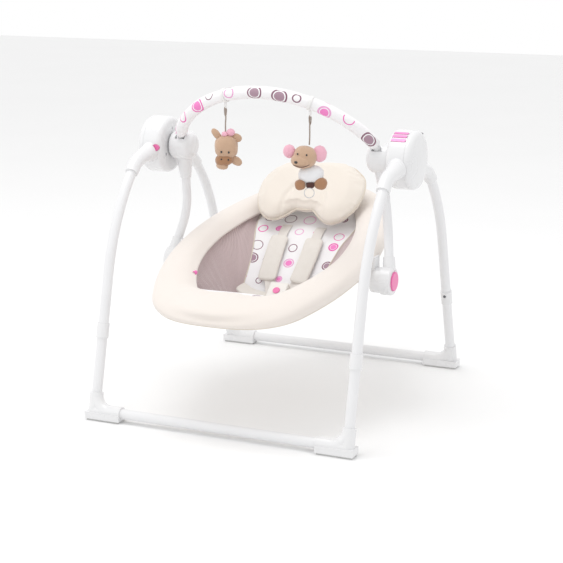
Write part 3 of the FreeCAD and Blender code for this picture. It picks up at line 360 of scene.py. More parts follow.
def plush(name, colour, shade, pile=1400.0, depth=0.0006):
    """Short pile cloth: clumps of pile, a broad change of lie, and a pale sheen at the edges."""
    paint = Paint(name, Roughness=0.95, Sheen_Weight=0.35, Sheen_Roughness=0.5)
    lie = paint.noise(9.0, 2.0)
    clump = paint.noise(pile, 4.0, rough=0.7)
    paint.wear(Base_Color=paint.mix(lie * 0.6 + clump * 0.4, colour, shade))
    return paint.bump(clump, 0.5, depth)


ROLL = 21.0          # radius of the roll round the seat tube
FOAM_TOP = 23.5      # highest point of the foam
FOOT_THIN = 0.48     # share by which the roll thins at the foot
FOOT_IN, CORNER_OUT = 9.0, 8.0
SEAM_IN, SEAM_DOWN = 6.5, 15.3

around = np.linspace(-np.pi, np.pi, 288, endpoint=False)
band = band_width(around)
inner = band - ROLL
foot = foot_share(around)
edge_in = FOOT_IN * foot ** 6 - CORNER_OUT * (2 * foot * np.abs(np.cos(around))) ** 2
thin = 1 - FOOT_THIN * foot ** 2
section = [(edge_in, 0), (edge_in + 6.2, 14.8 * thin), (ROLL, ROLL), (ROLL + inner * 0.35, FOAM_TOP),
           (ROLL + inner * 0.68, 19.5), (band - 5, 10), (band, 4), (band - 5, -2), (ROLL + inner * 0.5, -8),
           (ROLL + inner * 0.2, -16), (ROLL, -ROLL * thin), (edge_in + 6, -14.8 * thin)]
outline = np.array([np.broadcast_arrays(*spot, band)[:2] for spot in section])
across = loop_through(outline.transpose(0, 2, 1), 4)
ripple = 0.5 * np.sin(around * 23) + 0.4 * np.sin(around * 37 + 1.3)
across[..., 1] += ripple * np.clip(across[..., 0] / band - 0.3, 0, 1)
border_x, border_v = rim(around[None], across[..., 0])
border_grid = np.stack([border_x, border_v, across[..., 1]], -1)
border = surface("seat_border_plush", in_seat(border_grid), (True, True))
cream = plush("cream_plush", (0.83, 0.77, 0.725), (0.76, 0.70, 0.645))
dress(border, "seat", cream, "plush_cream", "seat_border")

seam_x, seam_v = rim(around, edge_in + SEAM_IN)
edge_seam = piping("border_piping", in_seat(np.stack([seam_x, seam_v, -SEAM_DOWN * thin], -1)), 1.5 * MM)
trim = plush("cream_trim", (0.74, 0.67, 0.58), (0.66, 0.59, 0.50), 2200.0, 0.0003)
dress(edge_seam, "seat", trim, "plush_cream")

# ---------------------------------------------------------------- seat centre panel
# White cotton printed with rings and dots, over thin padding. It runs from the
# foot edge down to the crotch and up the back, and is gathered a little at its seams.
def through(knots, t):
    """A smooth curve through knots (place, value): cubic spans with slopes from neighbours."""
    k, y = np.array(knots, float).T
    slope = np.gradient(y, k)
    i = np.clip(np.searchsorted(k, t) - 1, 0, len(k) - 2)
    h = k[i + 1] - k[i]
    f = np.clip((t - k[i]) / h, 0, 1)
    return (y[i] * (1 + 2 * f) * (1 - f) ** 2 + slope[i] * h * f * (1 - f) ** 2
            + y[i + 1] * f * f * (3 - 2 * f) + slope[i + 1] * h * f * f * (f - 1))


SEAT_FLOOR = [(-252, -6), (-232, -3), (-208, -4), (-178, -24), (-130, -62), (-80, -94), (-39, -108),
              (-8, -105), (21, -86), (70, -58), (123, -29), (180, -12), (225, -2), (262, 2)]
PANEL_HALF = [(-260, 150), (-166, 142), (-130, 124), (-60, 101), (0, 92), (50, 95), (100, 105),
              (150, 119), (262, 130)]


TUCK = 14.0          # how far the panels reach under the border
PANEL_WALL = 2.5
CREASE_LIFT, LEG_LIFT = 9.0, 8.0


def opening(v):
    """Half width of the border's opening at a place along the seat, with a tuck under the border."""
    a = np.linspace(-np.pi / 2, np.pi / 2, 721)
    x, along = rim(a, band_width(a) - TUCK)
    return np.interp(v, along, x)


def panel_edge(v):
    """Half width of the centre panel, no wider than the opening."""
    return np.minimum(through(PANEL_HALF, v), opening(v))


def crease_lift(v):
    """How far the padding lifts the panel's side edges under the hips and under the legs."""
    hips = CREASE_LIFT * np.clip(1 - np.abs(v - 10) / 190, 0, 1)
    legs = LEG_LIFT * np.clip((-95 - v) / 60, 0, 1) * np.clip((v + 226) / 40, 0, 1)
    return hips, legs


rows = np.linspace(-234.0, 260.0, 150)
columns = np.linspace(-1, 1, 61)
v, q = np.meshgrid(rows, columns, indexing="ij")
half = panel_edge(v)
puff = sum(crease_lift(v)) * q ** 4 + 3.5 * (1 - q ** 2)
pucker = 0.7 * np.sin(v / 5.1) * np.abs(q) ** 6 + 0.5 * np.sin(v / 17.0 + 2 * q)
w = through(SEAT_FLOOR, v) + puff + pucker
arc = np.concatenate([[0], np.cumsum(np.hypot(np.diff(rows), np.diff(through(SEAT_FLOOR, rows))))])
cloth = np.stack([half * q, np.broadcast_to(arc[:, None], v.shape)], -1) * MM
centre = surface("seat_centre_panel", in_seat(np.stack([half * q, v, w], -1)), uv=cloth, closed=False,
                 flip=True)


def printed(name, scale, shift):
    """White cotton with scattered rings and dots in three colours. Each cell of a jittered grid
    holds one disc of its own radius: a ring where only its rim is inked, a dot where it is full."""
    paint = Paint(name, Roughness=0.85, Sheen_Weight=0.1)
    on_cloth = paint.add("ShaderNodeUVMap", {"uv_map": "cloth"})
    moved = paint.add("ShaderNodeMapping", Vector=on_cloth, Location=shift)
    cells = {"voronoi_dimensions": "2D", "feature": "F1"}
    away, luck = (paint.add("ShaderNodeTexVoronoi", cells, (), out, Vector=moved, Scale=scale,
                            Randomness=0.35) for out in ("Distance", "Color"))
    parts = [paint.add("ShaderNodeSeparateColor", None, (luck,), k) for k in range(3)]
    radius = parts[0] * 0.16 + 0.14
    ink_width = parts[1] * 0.02 + 0.018
    ring = abs(away - radius) < ink_width
    dot = (away < radius * 0.72) * (parts[1] > 0.5)
    first = paint.mix(parts[2] > 0.36, (0.80, 0.13, 0.45), (0.78, 0.38, 0.62))
    ink = paint.mix(parts[2] > 0.68, first, (0.25, 0.12, 0.17))
    soft = paint.mix(parts[2] > 0.68, (0.86, 0.15, 0.52), (0.33, 0.18, 0.25))
    white_cloth = paint.mix(paint.noise(30.0), (0.90, 0.89, 0.90), (0.86, 0.85, 0.86))
    faded = paint.mix(0.12, soft, white_cloth)
    paint.wear(Base_Color=paint.mix(ring, paint.mix(dot, white_cloth, faded), ink))
    warp, weft = (paint.waves(on_cloth, way, 900.0, 0.6) for way in ("X", "Y"))
    creases = paint.noise(40.0, 3.0)
    return paint.bump(warp * weft * 0.2 + creases * 0.8, 0.35, 0.0012)


def thicken(piece, metres, offset=-1):
    """Gives a cloth its thickness, behind its face unless offset says otherwise."""
    wall = piece.modifiers.new("cloth_thickness", "SOLIDIFY")
    wall.thickness, wall.offset = metres, offset
    return piece


cotton = printed("printed_cotton", 21.0, (0.013, 0.004, 0))
thicken(dress(centre, "seat", cotton, "print_cotton", "seat_sling"), PANEL_WALL * MM)

# ---------------------------------------------------------------- seat side panels
# Mauve knitted mesh, one each side, sewn to the centre panel below and to the
# border above. Its ribs fan out from the crotch, and it wrinkles along them.
PANEL_TOP = 3.0      # height of the panels' upper edge, inside the border
SIDE_WALL = 2.0
side_rows = np.linspace(-196.0, 196.0, 130)
lift = np.linspace(0, 1, 40)
v, k = np.meshgrid(side_rows, lift, indexing="ij")
low = panel_edge(v)
high = np.maximum(opening(v), low + 0.4)
low_w = through(SEAT_FLOOR, v) + sum(crease_lift(v))
fan = np.arctan2(k * 100 + 20, v + 70)
fold = 1.8 * np.sin(fan * 23) * np.sin(np.pi * k) * np.clip((high - low) / 40, 0, 1)
x = low + (high - low) * k
w = low_w + (PANEL_TOP - low_w) * k ** 1.35 + fold
spread = np.hypot(v + 70, k * 100 + 20)
cloth = np.stack([fan * 120, spread], -1) * MM


knit = Paint("mauve_knit", Roughness=0.9, Sheen_Weight=0.3, Sheen_Roughness=0.5)
ribs = knit.waves(knit.add("ShaderNodeUVMap", {"uv_map": "cloth"}), "X", 95.0, 2.5)
stitch = knit.noise(1300.0, 3.0)
knit.wear(Base_Color=knit.mix(ribs * 0.55 + stitch * 0.45, (0.40, 0.295, 0.295), (0.70, 0.585, 0.585)))
knit_cloth = knit.bump(ribs * 0.5 + stitch * 0.5, 0.8, 0.0012)
for side, name in ((1, "right"), (-1, "left")):
    panel_grid = np.stack([side * x, v, w], -1)
    panel = surface(f"seat_side_panel_{name}", in_seat(panel_grid), uv=cloth, closed=False, flip=side > 0)
    thicken(dress(panel, "seat", knit_cloth, "knit_mauve"), SIDE_WALL * MM)
    line = in_seat(np.stack([side * low[:, 0], side_rows, low_w[:, 0] + 0.5], -1))
    dress(piping(f"side_seam_{name}", line, 1.3 * MM, closed=False), "seat", trim, "plush_cream")

# ---------------------------------------------------------------- side tag
# A small folded tag of pink ribbon, sewn in where the left side panel's front
# corner meets the border.
tag_v = -158.0
tag_x = -(float(opening(np.array(tag_v))) - 11)
ring = np.linspace(0, 2 * np.pi, 24, endpoint=False)
fold_out = np.stack([tag_x + 4 * np.cos(ring), tag_v + 2 * np.sin(ring), 9 + 4 * np.sin(ring)], -1)
tag = surface("side_tag", in_seat(fold_out[:, None] + np.linspace(-4, 4, 5)[None, :, None] * (0.3, 0.9, 0.0)),
              (True, False), closed=False)
ribbon = plush("pink_ribbon", (0.85, 0.20, 0.50), (0.78, 0.15, 0.42), 2600.0, 0.0002)
thicken(dress(tag, "seat", ribbon, "plush_pink"), 0.8 * MM, 0)

# ---------------------------------------------------------------- seat outer shell
# The back of the seat: a cream plush bucket sewn under the border, sagging
# under the hips.
SHELL_FLOOR = [(-320, -15), (-262, -31), (-205, -52), (-130, -98), (-39, -121), (21, -102), (70, -74),
               (123, -46), (200, -28), (262, -20), (320, -15)]
SHELL_INSET, SHELL_EDGE, SHELL_WALL = 40.0, -13.0, 2.0
rows = np.linspace(-319.0, 319.0, 120)
columns = np.linspace(-1, 1, 71)
v, q = np.meshgrid(rows, columns, indexing="ij")
a = np.linspace(-np.pi / 2, np.pi / 2, 721)
shell_x, shell_v = rim(a, SHELL_INSET)
wide = np.interp(v, shell_v, shell_x)
deep = through(SHELL_FLOOR, v)
crumple = 1.3 * np.sin(v / 14 + 5 * q) * (1 - q ** 2)
w = deep + (SHELL_EDGE - deep) * np.abs(q) ** 3.6 + crumple
shell = surface("seat_outer_shell", in_seat(np.stack([wide * q, v, w], -1)), closed=False)
thicken(dress(shell, "seat", cream, "plush_cream"), SHELL_WALL * MM)

# ---------------------------------------------------------------- head pillow
# A horseshoe cushion of cream plush. It is cut from two faces, piped round its
# edge and stuffed, so it is blown up from a flat slab by cloth pressure.
PILLOW_AT, PILLOW_LEAN = (214.0, 51.0), math.radians(26.0)


def on_pillow(points):
    """Pillow sizes in millimetres (across, along, up) to the frame's metres."""
    x, v, w = np.moveaxis(np.asarray(points, float), -1, 0)
    along = PILLOW_AT[0] + v * math.cos(PILLOW_LEAN) - w * math.sin(PILLOW_LEAN)
    up = PILLOW_AT[1] + v * math.sin(PILLOW_LEAN) + w * math.cos(PILLOW_LEAN)
    return in_seat(np.stack([x, along, up], -1))


def off_pillow(points):
    """The frame's metres back to the pillow's own sizes."""
    p = np.asarray(points, float) / MM - SEAT_AT
    v = p[..., 1] * math.cos(SEAT_LEAN) + p[..., 2] * math.sin(SEAT_LEAN) - PILLOW_AT[0]
    w = -p[..., 1] * math.sin(SEAT_LEAN) + p[..., 2] * math.cos(SEAT_LEAN) - PILLOW_AT[1]
    along = v * math.cos(PILLOW_LEAN) + w * math.sin(PILLOW_LEAN)
    return np.stack([p[..., 0], along, -v * math.sin(PILLOW_LEAN) + w * math.cos(PILLOW_LEAN)], -1)


def vertex_places(mesh):
    """A mesh's points as an array, in metres."""
    places = np.empty(len(mesh.vertices) * 3, np.float32)
    mesh.vertices.foreach_get("co", places)
    return places.reshape(-1, 3).astype(float)


PILLOW_SCALE = 1.06
PILLOW_EDGE = [(-90, 60), (-76, 60), (-66, 66), (-60, 84), (-53, 106), (-42, 120), (-28, 124), (-10, 126),
               (10, 126), (30, 122), (50, 107), (70, 92), (90, 86)]


def softened(values, width):
    """A moving average round a closed line."""
    kernel = np.ones(width) / width
    wrapped = np.concatenate([values[-width:], values, values[:width]])
    return np.convolve(wrapped, kernel, "same")[width:-width]


VOXEL, PRESSURE, PUFF_LIMIT, LAST_FRAME = 5.0, 4.0, 9.0, 20
SEAM_DIP, HOLLOW_DIP = 6.0, 8.0
angles = np.linspace(-np.pi, np.pi, 180, endpoint=False)
from_middle = np.degrees(np.arcsin(np.sin(angles)))
edge = PILLOW_SCALE * softened(through(PILLOW_EDGE, from_middle), 5)
rings = np.array([0.0, 0.25, 0.5, 0.75, 0.9, 1.0, 1.0, 0.9, 0.75, 0.5, 0.25, 0.0])
heights = np.array([15, 15, 15, 15, 14, 9, -9, -14, -15, -15, -15, -15.0])
slab = np.stack([rings[:, None] * edge * np.cos(angles), rings[:, None] * edge * np.sin(angles),
                 np.broadcast_to(heights[:, None], (12, 180))], -1)
pillow = surface("head_pillow", on_pillow(slab), (False, True))
remesh = pillow.modifiers.new("remesh", "REMESH")
remesh.mode, remesh.voxel_size = "VOXEL", VOXEL * MM


def bake(piece):
    """Applies a piece's modifiers to its mesh."""
    bpy.context.view_layer.update()
    shape = bpy.data.meshes.new_from_object(piece.evaluated_get(bpy.context.evaluated_depsgraph_get()))
    piece.modifiers.clear()
    piece.data = shape
    return piece


bake(pillow)
start = vertex_places(pillow.data)
cloth_sim = pillow.modifiers.new("stuffing", "CLOTH")
cloth_sim.settings.use_pressure = True
cloth_sim.settings.uniform_pressure_force = PRESSURE
cloth_sim.settings.effector_weights.gravity = 0.0
cloth_sim.settings.tension_stiffness = 12.0
cloth_sim.point_cache.frame_start, cloth_sim.point_cache.frame_end = 1, LAST_FRAME
for step in range(1, LAST_FRAME + 1):
    bpy.context.scene.frame_set(step)
bake(pillow)
bpy.context.scene.frame_set(1)
moved = vertex_places(pillow.data) - start
far = np.linalg.norm(moved, axis=1, keepdims=True)
puffed = start + moved * np.minimum(1, PUFF_LIMIT * MM / np.maximum(far, 1e-9))
own = off_pillow(puffed)
dip = np.hypot(own[:, 0] / 50, (own[:, 1] + 60) / 82)
groove = np.exp(-((dip - 1) / 0.07) ** 2) * (own[:, 2] > 0)
hollow = np.clip(1 - dip, 0, 1) ** 0.7 * (own[:, 2] > 0)
own[:, 2] -= SEAM_DIP * groove + HOLLOW_DIP * hollow
pillow.data.vertices.foreach_set("co", on_pillow(own).astype(np.float32).ravel())
rounder = pillow.modifiers.new("finer", "SUBSURF")
rounder.levels = rounder.render_levels = 1
bake(pillow)
pillow.data.polygons.foreach_set("use_smooth", np.ones(len(pillow.data.polygons), bool))
warm = plush("pillow_plush", (0.82, 0.76, 0.69), (0.75, 0.685, 0.61))
dress(pillow, "seat", warm, "plush_cream", "pillow")

own = off_pillow(vertex_places(pillow.data))
middle = own[np.abs(own[:, 2]) < 4]
spoke = np.degrees(np.arctan2(middle[:, 1], middle[:, 0])).astype(int) // 3 + 60
reach = np.zeros(121)
np.maximum.at(reach, spoke, np.hypot(middle[:, 0], middle[:, 1]))
reach = softened(reach[:120], 3)
turn_at = np.radians(np.arange(120) * 3 - 180 + 1.5)
welt = np.stack([reach * np.cos(turn_at), reach * np.sin(turn_at), 0 * reach], -1)
dress(piping("pillow_piping", on_pillow(loop_through(welt, 2)), 2.0 * MM), "seat", trim, "plush_cream")

# ---------------------------------------------------------------- harness
# Two padded shoulder covers over webbing, a crotch strap and two waist pads,
# all buckled at the middle. The covers are flat foam in beige cotton.
STRAP_SIDES = 28


def strap(name, route, width, thick, material, slot, round_ends=True):
    """A flat padded strap along a route of (across, along, up): a flattened oval carried along it,
    narrowed to a round end at both ends."""
    route = np.array(route, float)
    t = np.linspace(0, 1, 60)
    knots = np.linspace(0, 1, len(route))
    x, along, up = (through(np.stack([knots, route[:, c]], -1), t) for c in range(3))
    line = in_seat(np.stack([x, along, through(SEAT_FLOOR, along) + up], -1))
    ahead = np.gradient(line, axis=0)
    ahead /= np.linalg.norm(ahead, axis=1, keepdims=True)
    length = np.linalg.norm(np.diff(line, axis=0), axis=1).sum()
    level = np.array([0.0, -math.sin(SEAT_LEAN), math.cos(SEAT_LEAN)])
    side = np.cross(ahead, level)
    side /= np.linalg.norm(side, axis=1, keepdims=True)
    out = np.cross(side, ahead)
    a = np.linspace(0, 2 * np.pi, STRAP_SIDES, endpoint=False)
    c, s = np.cos(a), np.sin(a)
    flat_x = np.sign(c) * np.abs(c) ** 0.35
    flat_z = np.sign(s) * np.abs(s) ** 0.8
    near_end = np.minimum(t, 1 - t) * length / (width * MM * 0.28)
    rounded = np.sqrt(np.clip(1 - (1 - np.clip(near_end, 0, 1)) ** 2.6, 0, 1))
    taper = (rounded if round_ends else np.ones_like(t))[:, None, None]
    swell = np.clip(near_end * 3, 0, 1)[:, None, None]
    tube = (line[:, None] + side[:, None] * flat_x[None, :, None] * taper * width * MM / 2
            + out[:, None] * flat_z[None, :, None] * swell * thick * MM / 2)
    ends = [np.repeat(tube[k].mean(0)[None, None], STRAP_SIDES, axis=1) for k in (0, -1)]
    piece = surface(name, np.concatenate([ends[0], tube, ends[1]]), (False, True))
    return dress(piece, "seat", material, slot)


def webbing(name, colour, shade):
    """Woven tape: a fine twill across and along, with a soft change in tone."""
    paint = Paint(name, Roughness=0.85, Sheen_Weight=0.15)
    warp, weft = (paint.waves(paint.place, way, 520.0, 1.0) for way in ("X", "Z"))
    paint.wear(Base_Color=paint.mix(paint.noise(70.0, 3.0), colour, shade))
    return paint.bump(warp * 0.5 + weft * 0.5, 0.5, 0.0004)


beige = webbing("beige_cotton", (0.80, 0.765, 0.715), (0.74, 0.70, 0.645))
tape = webbing("harness_tape", (0.80, 0.76, 0.72), (0.72, 0.68, 0.64))
for side, name in ((1, "right"), (-1, "left")):
    pad = strap(f"shoulder_pad_{name}",
                [(side * 38, 8, 13), (side * 41, 45, 12), (side * 43, 85, 12), (side * 43, 118, 12)],
                43, 9, beige, "strap_beige")
    if side > 0:
        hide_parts("harness_straps")
    strap(f"shoulder_tape_{name}",
          [(side * 14, -24, 10), (side * 24, -2, 10), (side * 37, 30, 7), (side * 42, 90, 6.5),
           (side * 42, 150, 6), (side * 42, 165, 1)], 24, 2.2, tape, "strap_beige", False)
    waist = strap(f"waist_pad_{name}",
                  [(side * 22, -34, 9), (side * 45, -32, 10), (side * 70, -28, 14), (side * 92, -22, 24)],
                  34, 9, beige, "strap_beige")
crotch = strap("crotch_pad", [(0, -118, 9), (0, -92, 9), (0, -66, 9), (0, -44, 9)], 46, 9, beige,
               "strap_beige")
finish(moulded("buckle_moulding", (0.84, 0.82, 0.78), (0.80, 0.78, 0.73), 0.4), "buckle_white", "buckle")

# ---------------------------------------------------------------- toy bar sleeve
# A sewn tube of the printed cotton over foam, pulled on to the toy bar and
# gathered a little at both ends.
HUB = np.array([0.0, 0.0, 556.0])
BAR_LEAN = math.radians(37.7)
BAR_HALF, BAR_RISE, BAR_SIDE = 237.0, 177.0, 120.0
TOP_R = ((BAR_HALF - BAR_SIDE) ** 2 + BAR_RISE ** 2 - BAR_SIDE ** 2) / (2 * (BAR_RISE - BAR_SIDE))
BAR_UP = np.array([0.0, -math.sin(BAR_LEAN), math.cos(BAR_LEAN)])


def bar_line(start_height, count):
    """The toy bar's centre line in millimetres (across, height): side arc, top arc, side arc."""
    side_x = BAR_HALF - BAR_SIDE
    join = math.pi / 2 - math.atan2(side_x, TOP_R - BAR_RISE)
    a0 = math.asin(start_height / BAR_SIDE)
    side_len, top_len = BAR_SIDE * (join - a0), TOP_R * (math.pi / 2 - join)
    s = np.linspace(-(side_len + top_len), side_len + top_len, count)
    off = np.abs(s)
    lean = np.minimum(off, top_len) / TOP_R
    a = join - np.clip(off - top_len, 0, None) / BAR_SIDE
    x = np.where(off <= top_len, TOP_R * np.sin(lean), side_x + BAR_SIDE * np.cos(a))
    h = np.where(off <= top_len, BAR_RISE - TOP_R + TOP_R * np.cos(lean), BAR_SIDE * np.sin(a))
    return s, np.sign(s) * x, h


SLEEVE_R, SLEEVE_START = 13.4, 38.0
s, bx, bh = bar_line(SLEEVE_START, 260)
line = (HUB + np.stack([bx, 0 * bx, 0 * bx], -1) + bh[:, None] * BAR_UP) * MM
ahead = np.gradient(line, axis=0)
ahead /= np.linalg.norm(ahead, axis=1, keepdims=True)
flat = np.cross(BAR_UP, (1.0, 0, 0))
lift = np.cross(flat, ahead)
a = np.linspace(np.pi, 3 * np.pi, 40, endpoint=False)
reach = np.abs(s).max() - np.abs(s)
gather = np.exp(-reach / 16)
bunch = np.where(s < 0, 1.1, 0.35) * np.exp(-reach / 40)
size = SLEEVE_R - 2.2 * np.exp(-reach / 3.0)
fold = (0.55 * np.sin(a[None] * 9 + s[:, None] / 6) * gather[:, None]
        + bunch[:, None] * np.sin(s[:, None] / 2.1 + np.sin(a + 0.6)[None] * 2.2)
        + 0.3 * np.sin(s[:, None] / 15 + 2 * a[None]))
size = (size[:, None] + fold)[..., None] * MM
tube = line[:, None] + size * (np.cos(a)[None, :, None] * lift[:, None] + np.sin(a)[None, :, None] * flat)
lips = [(tube[k] * 0.7 + line[k] * 0.3)[None] for k in (0, -1)]
tube = np.concatenate([lips[0], tube, lips[1]])
run = np.concatenate([[s[0] - 3], s, [s[-1] + 3]])
girth = np.linspace(0, 2 * np.pi, 41) * 13.5
cloth = np.stack(np.broadcast_arrays(run[:, None], girth[None]), -1) * MM
sleeve = surface("toy_bar_sleeve_cloth", tube, (False, True), uv=cloth)
dress(sleeve, "toy_bar", printed("printed_sleeve", 19.0, (0.021, 0.0, 0)), "print_cotton", "toy_bar_sleeve")

# ---------------------------------------------------------------- toy loops
# A white elastic band round the sleeve at each toy, with a short tab sewn below
# that takes the toy's cord.
elastic = webbing("white_elastic", (0.88, 0.87, 0.86), (0.82, 0.81, 0.80))


TOY_LEFT_X, TOY_RIGHT_X = -83.0, 111.0
TAB_TOP, TAB_LONG, TAB_END = 15.3, 13.2, 27.5


def arch_spot(x):
    """Centre of the toy bar over an x, and the bar's direction there."""
    h = BAR_RISE - TOP_R + math.sqrt(TOP_R ** 2 - x * x)
    lean = math.asin(x / TOP_R)
    return HUB + np.array([x, 0, 0]) + BAR_UP * h, np.array([math.cos(lean), 0, 0]) - BAR_UP * math.sin(lean)


def toy_loop(name, x, body, node):
    """The band: a thin ring round the bar, bulged between its edges. The tab: a flat loop under it."""
    spot, along = arch_spot(x)
    out = np.cross(along, flat)
    a = np.linspace(0, 2 * np.pi, 48, endpoint=False)
    round_bar = np.cos(a)[:, None] * out + np.sin(a)[:, None] * flat
    section = np.array([(-4, 13.6), (-4, 14.8), (-2.6, 15.2), (0, 15.4), (2.6, 15.2), (4, 14.8), (4, 13.6),
                        (0, 13.4)])
    band = spot + section[:, 0][None, :, None] * along + section[:, 1][None, :, None] * round_bar[:, None]
    ring = surface(name + "_band", band * MM, (True, True))
    dress(ring, body, elastic, "elastic_white", node)
    drop = np.linspace(0, 1, 24)
    half = 1.1 + 1.5 * np.sin(np.pi * drop)
    tab_x = 3.2 - 0.5 * drop
    c = np.linspace(0, 2 * np.pi, 16, endpoint=False)
    wide = np.sign(np.cos(c)) * np.abs(np.cos(c)) ** 0.4
    tab = np.stack([spot[0] + tab_x[:, None] * wide, spot[1] + half[:, None] * np.sin(c) * 0.6,
                    np.broadcast_to((spot[2] - TAB_TOP - TAB_LONG * drop)[:, None], (24, 16))], -1)
    ends = [np.repeat(tab[k].mean(0)[None, None], 16, axis=1) for k in (0, -1)]
    dress(surface(name + "_tab", np.concatenate([ends[0], tab, ends[1]]) * MM, (False, True)), body, elastic,
          "elastic_white")


toy_loop("toy_left_loop", TOY_LEFT_X, "left_toy", "toy_left_loop")
toy_loop("toy_right_loop", TOY_RIGHT_X, "right_toy", "toy_right_loop")

# ---------------------------------------------------------------- toy cords
# Each toy hangs on a short twisted cord, brown with a pale fleck, knotted into
# the tab above and sewn into the toy below.
twist = Paint("twisted_cord", Roughness=0.9)
strands = twist.waves(twist.place, "DIAGONAL", 260.0)
twist.wear(Base_Color=twist.mix(strands, (0.24, 0.18, 0.15), (0.52, 0.44, 0.38)))
twisted = twist.bump(strands, 0.8, 0.0006)


CORD_D = 3.0


def hanging_cord(name, x, route, body, node):
    """A smooth curve through the hanging cord's route, given as (across, drop) below the tab."""
    spot, _ = arch_spot(x)
    top = spot - np.array([0, 0, TAB_END])
    points = np.array([top + (dx, 0, -drop) for dx, drop in route]) * MM
    curve = bpy.data.curves.new(name, "CURVE")
    curve.dimensions, curve.bevel_depth, curve.bevel_resolution = "3D", CORD_D / 2 * MM, 4
    curve.use_fill_caps = True
    spline = curve.splines.new("NURBS")
    spline.points.add(len(points) - 1)
    spline.points.foreach_set("co", np.concatenate([points, np.ones((len(points), 1))], 1).ravel())
    spline.order_u, spline.use_endpoint_u = 3, True
    piece = bpy.data.objects.new(name, curve)
    bpy.context.collection.objects.link(piece)
    dress(piece, body, twisted, "cord_brown", node)
    return points[-1] / MM


def cord_eye(name, x, body):
    """The knotted eye at the cord's top: a long loop of the same cord through the tab."""
    a = np.linspace(0, 2 * np.pi, 40, endpoint=False)
    spot, _ = arch_spot(x)
    eye = np.stack([spot[0] + 2.6 * np.sin(a), spot[1] + 0.8 * np.sin(2 * a),
                    spot[2] - 35 + 10.5 * np.cos(a)], -1)
    dress(piping(name, eye * MM, 0.9 * MM), body, twisted, "cord_brown")


cord_eye("toy_left_eye", TOY_LEFT_X, "left_toy")
cord_eye("toy_right_eye", TOY_RIGHT_X, "right_toy")
left_end = hanging_cord("toy_left_cord_line", TOY_LEFT_X, ((0, 0), (1.2, 18), (-0.8, 38), (0, 56)),
                        "left_toy", "toy_left_cord")
right_end = hanging_cord("toy_right_cord_line", TOY_RIGHT_X, ((0, 0), (-1.2, 20), (-0.4, 40), (-1.6, 60)),
                         "right_toy", "toy_right_cord")

# ---------------------------------------------------------------- plush toys
# Two small stuffed animals of short plush. Heads, muzzles, ears and feet are
# sewn balls of cloth; eyes and noses are glossy beads.
tan = plush("tan_plush", (0.66, 0.46, 0.33), (0.48, 0.31, 0.20), 520.0, 0.0022)
brown = plush("brown_plush", (0.46, 0.25, 0.14), (0.32, 0.16, 0.08), 520.0, 0.0022)
rose = plush("pink_plush", (0.90, 0.55, 0.64), (0.82, 0.40, 0.52), 420.0, 0.003)
snow = plush("white_plush", (0.84, 0.84, 0.85), (0.76, 0.76, 0.78), 900.0, 0.0012)
bead = moulded("black_bead", (0.012, 0.010, 0.010), (0.02, 0.018, 0.018), 0.15, 300.0, 0.6)
mouth = plush("mouth_thread", (0.10, 0.04, 0.03), (0.06, 0.02, 0.02), 1500.0, 0.0003)
VIEW_TURN = math.radians(24.0)


BALL_RINGS, BALL_SIDES = 28, 36
TOY_DROP = np.array([0, 0, -24.0])


def stuffed(name, centre, size, lean=(0, 0, 0), square=2.0, lumps=0.0):
    """A stuffed ball: a superellipsoid of three half sizes, leaned about x, y and z, with low lumps."""
    u = np.linspace(-np.pi / 2, np.pi / 2, BALL_RINGS)[:, None]
    t = np.linspace(0, 2 * np.pi, BALL_SIDES, endpoint=False)[None]

    def blunt(value):
        return np.sign(value) * np.abs(value) ** (2 / square)

    ball = np.stack([blunt(np.cos(u)) * blunt(np.cos(t)), blunt(np.cos(u)) * blunt(np.sin(t)),
                     blunt(np.sin(u)) + 0 * t], -1)
    bumps = np.sin(5 * t + 3 * u) * np.cos(4 * u) + 0.6 * np.sin(9 * t) * np.sin(7 * u)
    ball *= (1 + lumps * bumps)[..., None]
    ball *= np.array(size, float)
    rx, ry, rz = (math.radians(d) for d in lean)
    turned_ball = ball @ np.array(Euler((rx, ry, rz)).to_matrix()).T
    return surface(name, (np.array(centre) + turned_ball) * MM, (False, True))


def faced(anchor, across, out, up):
    """A place on a toy that faces the swing's front right: across, out towards the front, and up."""
    c, s = math.cos(VIEW_TURN), math.sin(VIEW_TURN)
    return anchor + np.array([across * c + out * s, across * s - out * c, up])


def toy(prefix, body, slot, anchor, node, pieces):
    """Sews a toy's pieces round an anchor; the first piece stands for the CAD toy."""
    for k, (name, place, size, lean, material, square, lumps) in enumerate(pieces):
        piece = stuffed(f"{prefix}_{name}", faced(anchor, *place), size,
                        (lean[0], lean[1], lean[2] + math.degrees(VIEW_TURN)), square, lumps)
        dress(piece, body, material, slot, *([node] if k == 0 else []))


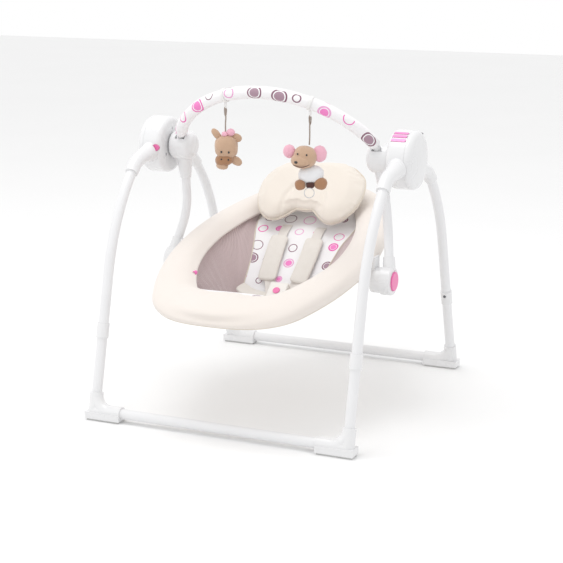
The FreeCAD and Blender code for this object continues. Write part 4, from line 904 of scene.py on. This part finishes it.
toy("giraffe", "left_toy", "plush_tan", left_end + TOY_DROP, "toy_left", [
    ("head", (1, 0, -4), (25, 21, 26), (0, -6, 0), tan, 2.4, 0.03),
    ("jaw", (-3, 3, -31), (20, 17, 13), (0, -8, 0), brown, 2.3, 0.03),
    ("lip", (-8, 4, -44), (13, 12, 8), (0, 10, 0), tan, 2.2, 0.03),
    ("ear_upper_left", (-20, 0, 24), (7.5, 5, 14), (0, -38, 0), tan, 2.2, 0.02),
    ("ear_upper_right", (23, 0, 16), (12, 5.5, 9), (0, 18, 0), tan, 2.2, 0.02),
    ("ear_lower_right", (22, 0, -34), (14, 7, 9), (0, 32, 0), tan, 2.2, 0.03),
    ("tuft_left", (-2, 4, 24), (7, 7, 6), (0, 0, 0), rose, 2.0, 0.05),
    ("tuft_right", (11, 3, 28), (9, 8, 8), (0, 0, 0), rose, 2.0, 0.05),
    ("eye_left", (-9, 20.5, -12), (2.1, 1.8, 2.6), (0, 0, 0), bead, 2.0, 0),
    ("eye_right", (7, 20.5, -13), (2.1, 1.8, 2.6), (0, 0, 0), bead, 2.0, 0),
    ("nostril_left", (-9, 19, -28), (2.0, 1.6, 1.8), (0, 0, 0), bead, 2.0, 0),
    ("nostril_right", (6, 19, -29), (2.0, 1.6, 1.8), (0, 0, 0), bead, 2.0, 0),
])
toy("puppy", "right_toy", "plush_tan", right_end + TOY_DROP, "toy_right", [
    ("head", (-9, 4, -1), (25, 22, 23), (0, 12, 0), tan, 2.3, 0.012),
    ("muzzle", (-18, 12, -9), (21, 18, 15), (0, 14, 0), tan, 2.3, 0.012),
    ("ear_left", (-42, 0, 10), (13, 9, 14), (0, 0, 0), rose, 2.1, 0.035),
    ("ear_right", (22, 1, 5), (15, 10, 17), (0, 0, 0), rose, 2.1, 0.035),
    ("body", (4, 0, -39), (27, 20, 19), (0, -6, 0), snow, 2.3, 0.015),
    ("foot_left", (-19, 8, -60), (11.5, 12, 11), (0, -12, 0), brown, 2.5, 0.02),
    ("foot_right", (24, 8, -57), (14, 13, 13), (0, 18, 0), brown, 2.5, 0.02),
    ("bow", (2, 10, -60), (9, 8, 7), (0, 0, 0), mouth, 3.0, 0.02),
    ("eye_left", (-25, 24, 8), (1.8, 1.6, 2.2), (0, 0, 0), bead, 2.0, 0),
    ("eye_right", (-6, 26, 6), (1.8, 1.6, 2.2), (0, 0, 0), bead, 2.0, 0),
    ("nose", (-28, 27, -9), (4.2, 3.4, 3.2), (0, 0, 0), bead, 2.0, 0),
])

angle = np.linspace(0, 2 * np.pi, 48, endpoint=False)
hoop = faced(right_end + TOY_DROP, 0, 16, -76) + 10.5 * np.stack(
    [np.cos(angle) * math.cos(VIEW_TURN), np.cos(angle) * math.sin(VIEW_TURN), np.sin(angle)], -1)
dress(piping("puppy_ring", hoop * MM, 0.9 * MM), "right_toy", steel.material, "steel")
smile = np.linspace(-1, 1, 20)
grin = np.stack([faced(right_end + TOY_DROP, -17 + 17 * t, 30.2 - 9 * t * t, -19 + 4 * t * t) for t in smile])
dress(piping("puppy_mouth", grin * MM, 0.8 * MM, closed=False), "right_toy", mouth, "plush_brown")
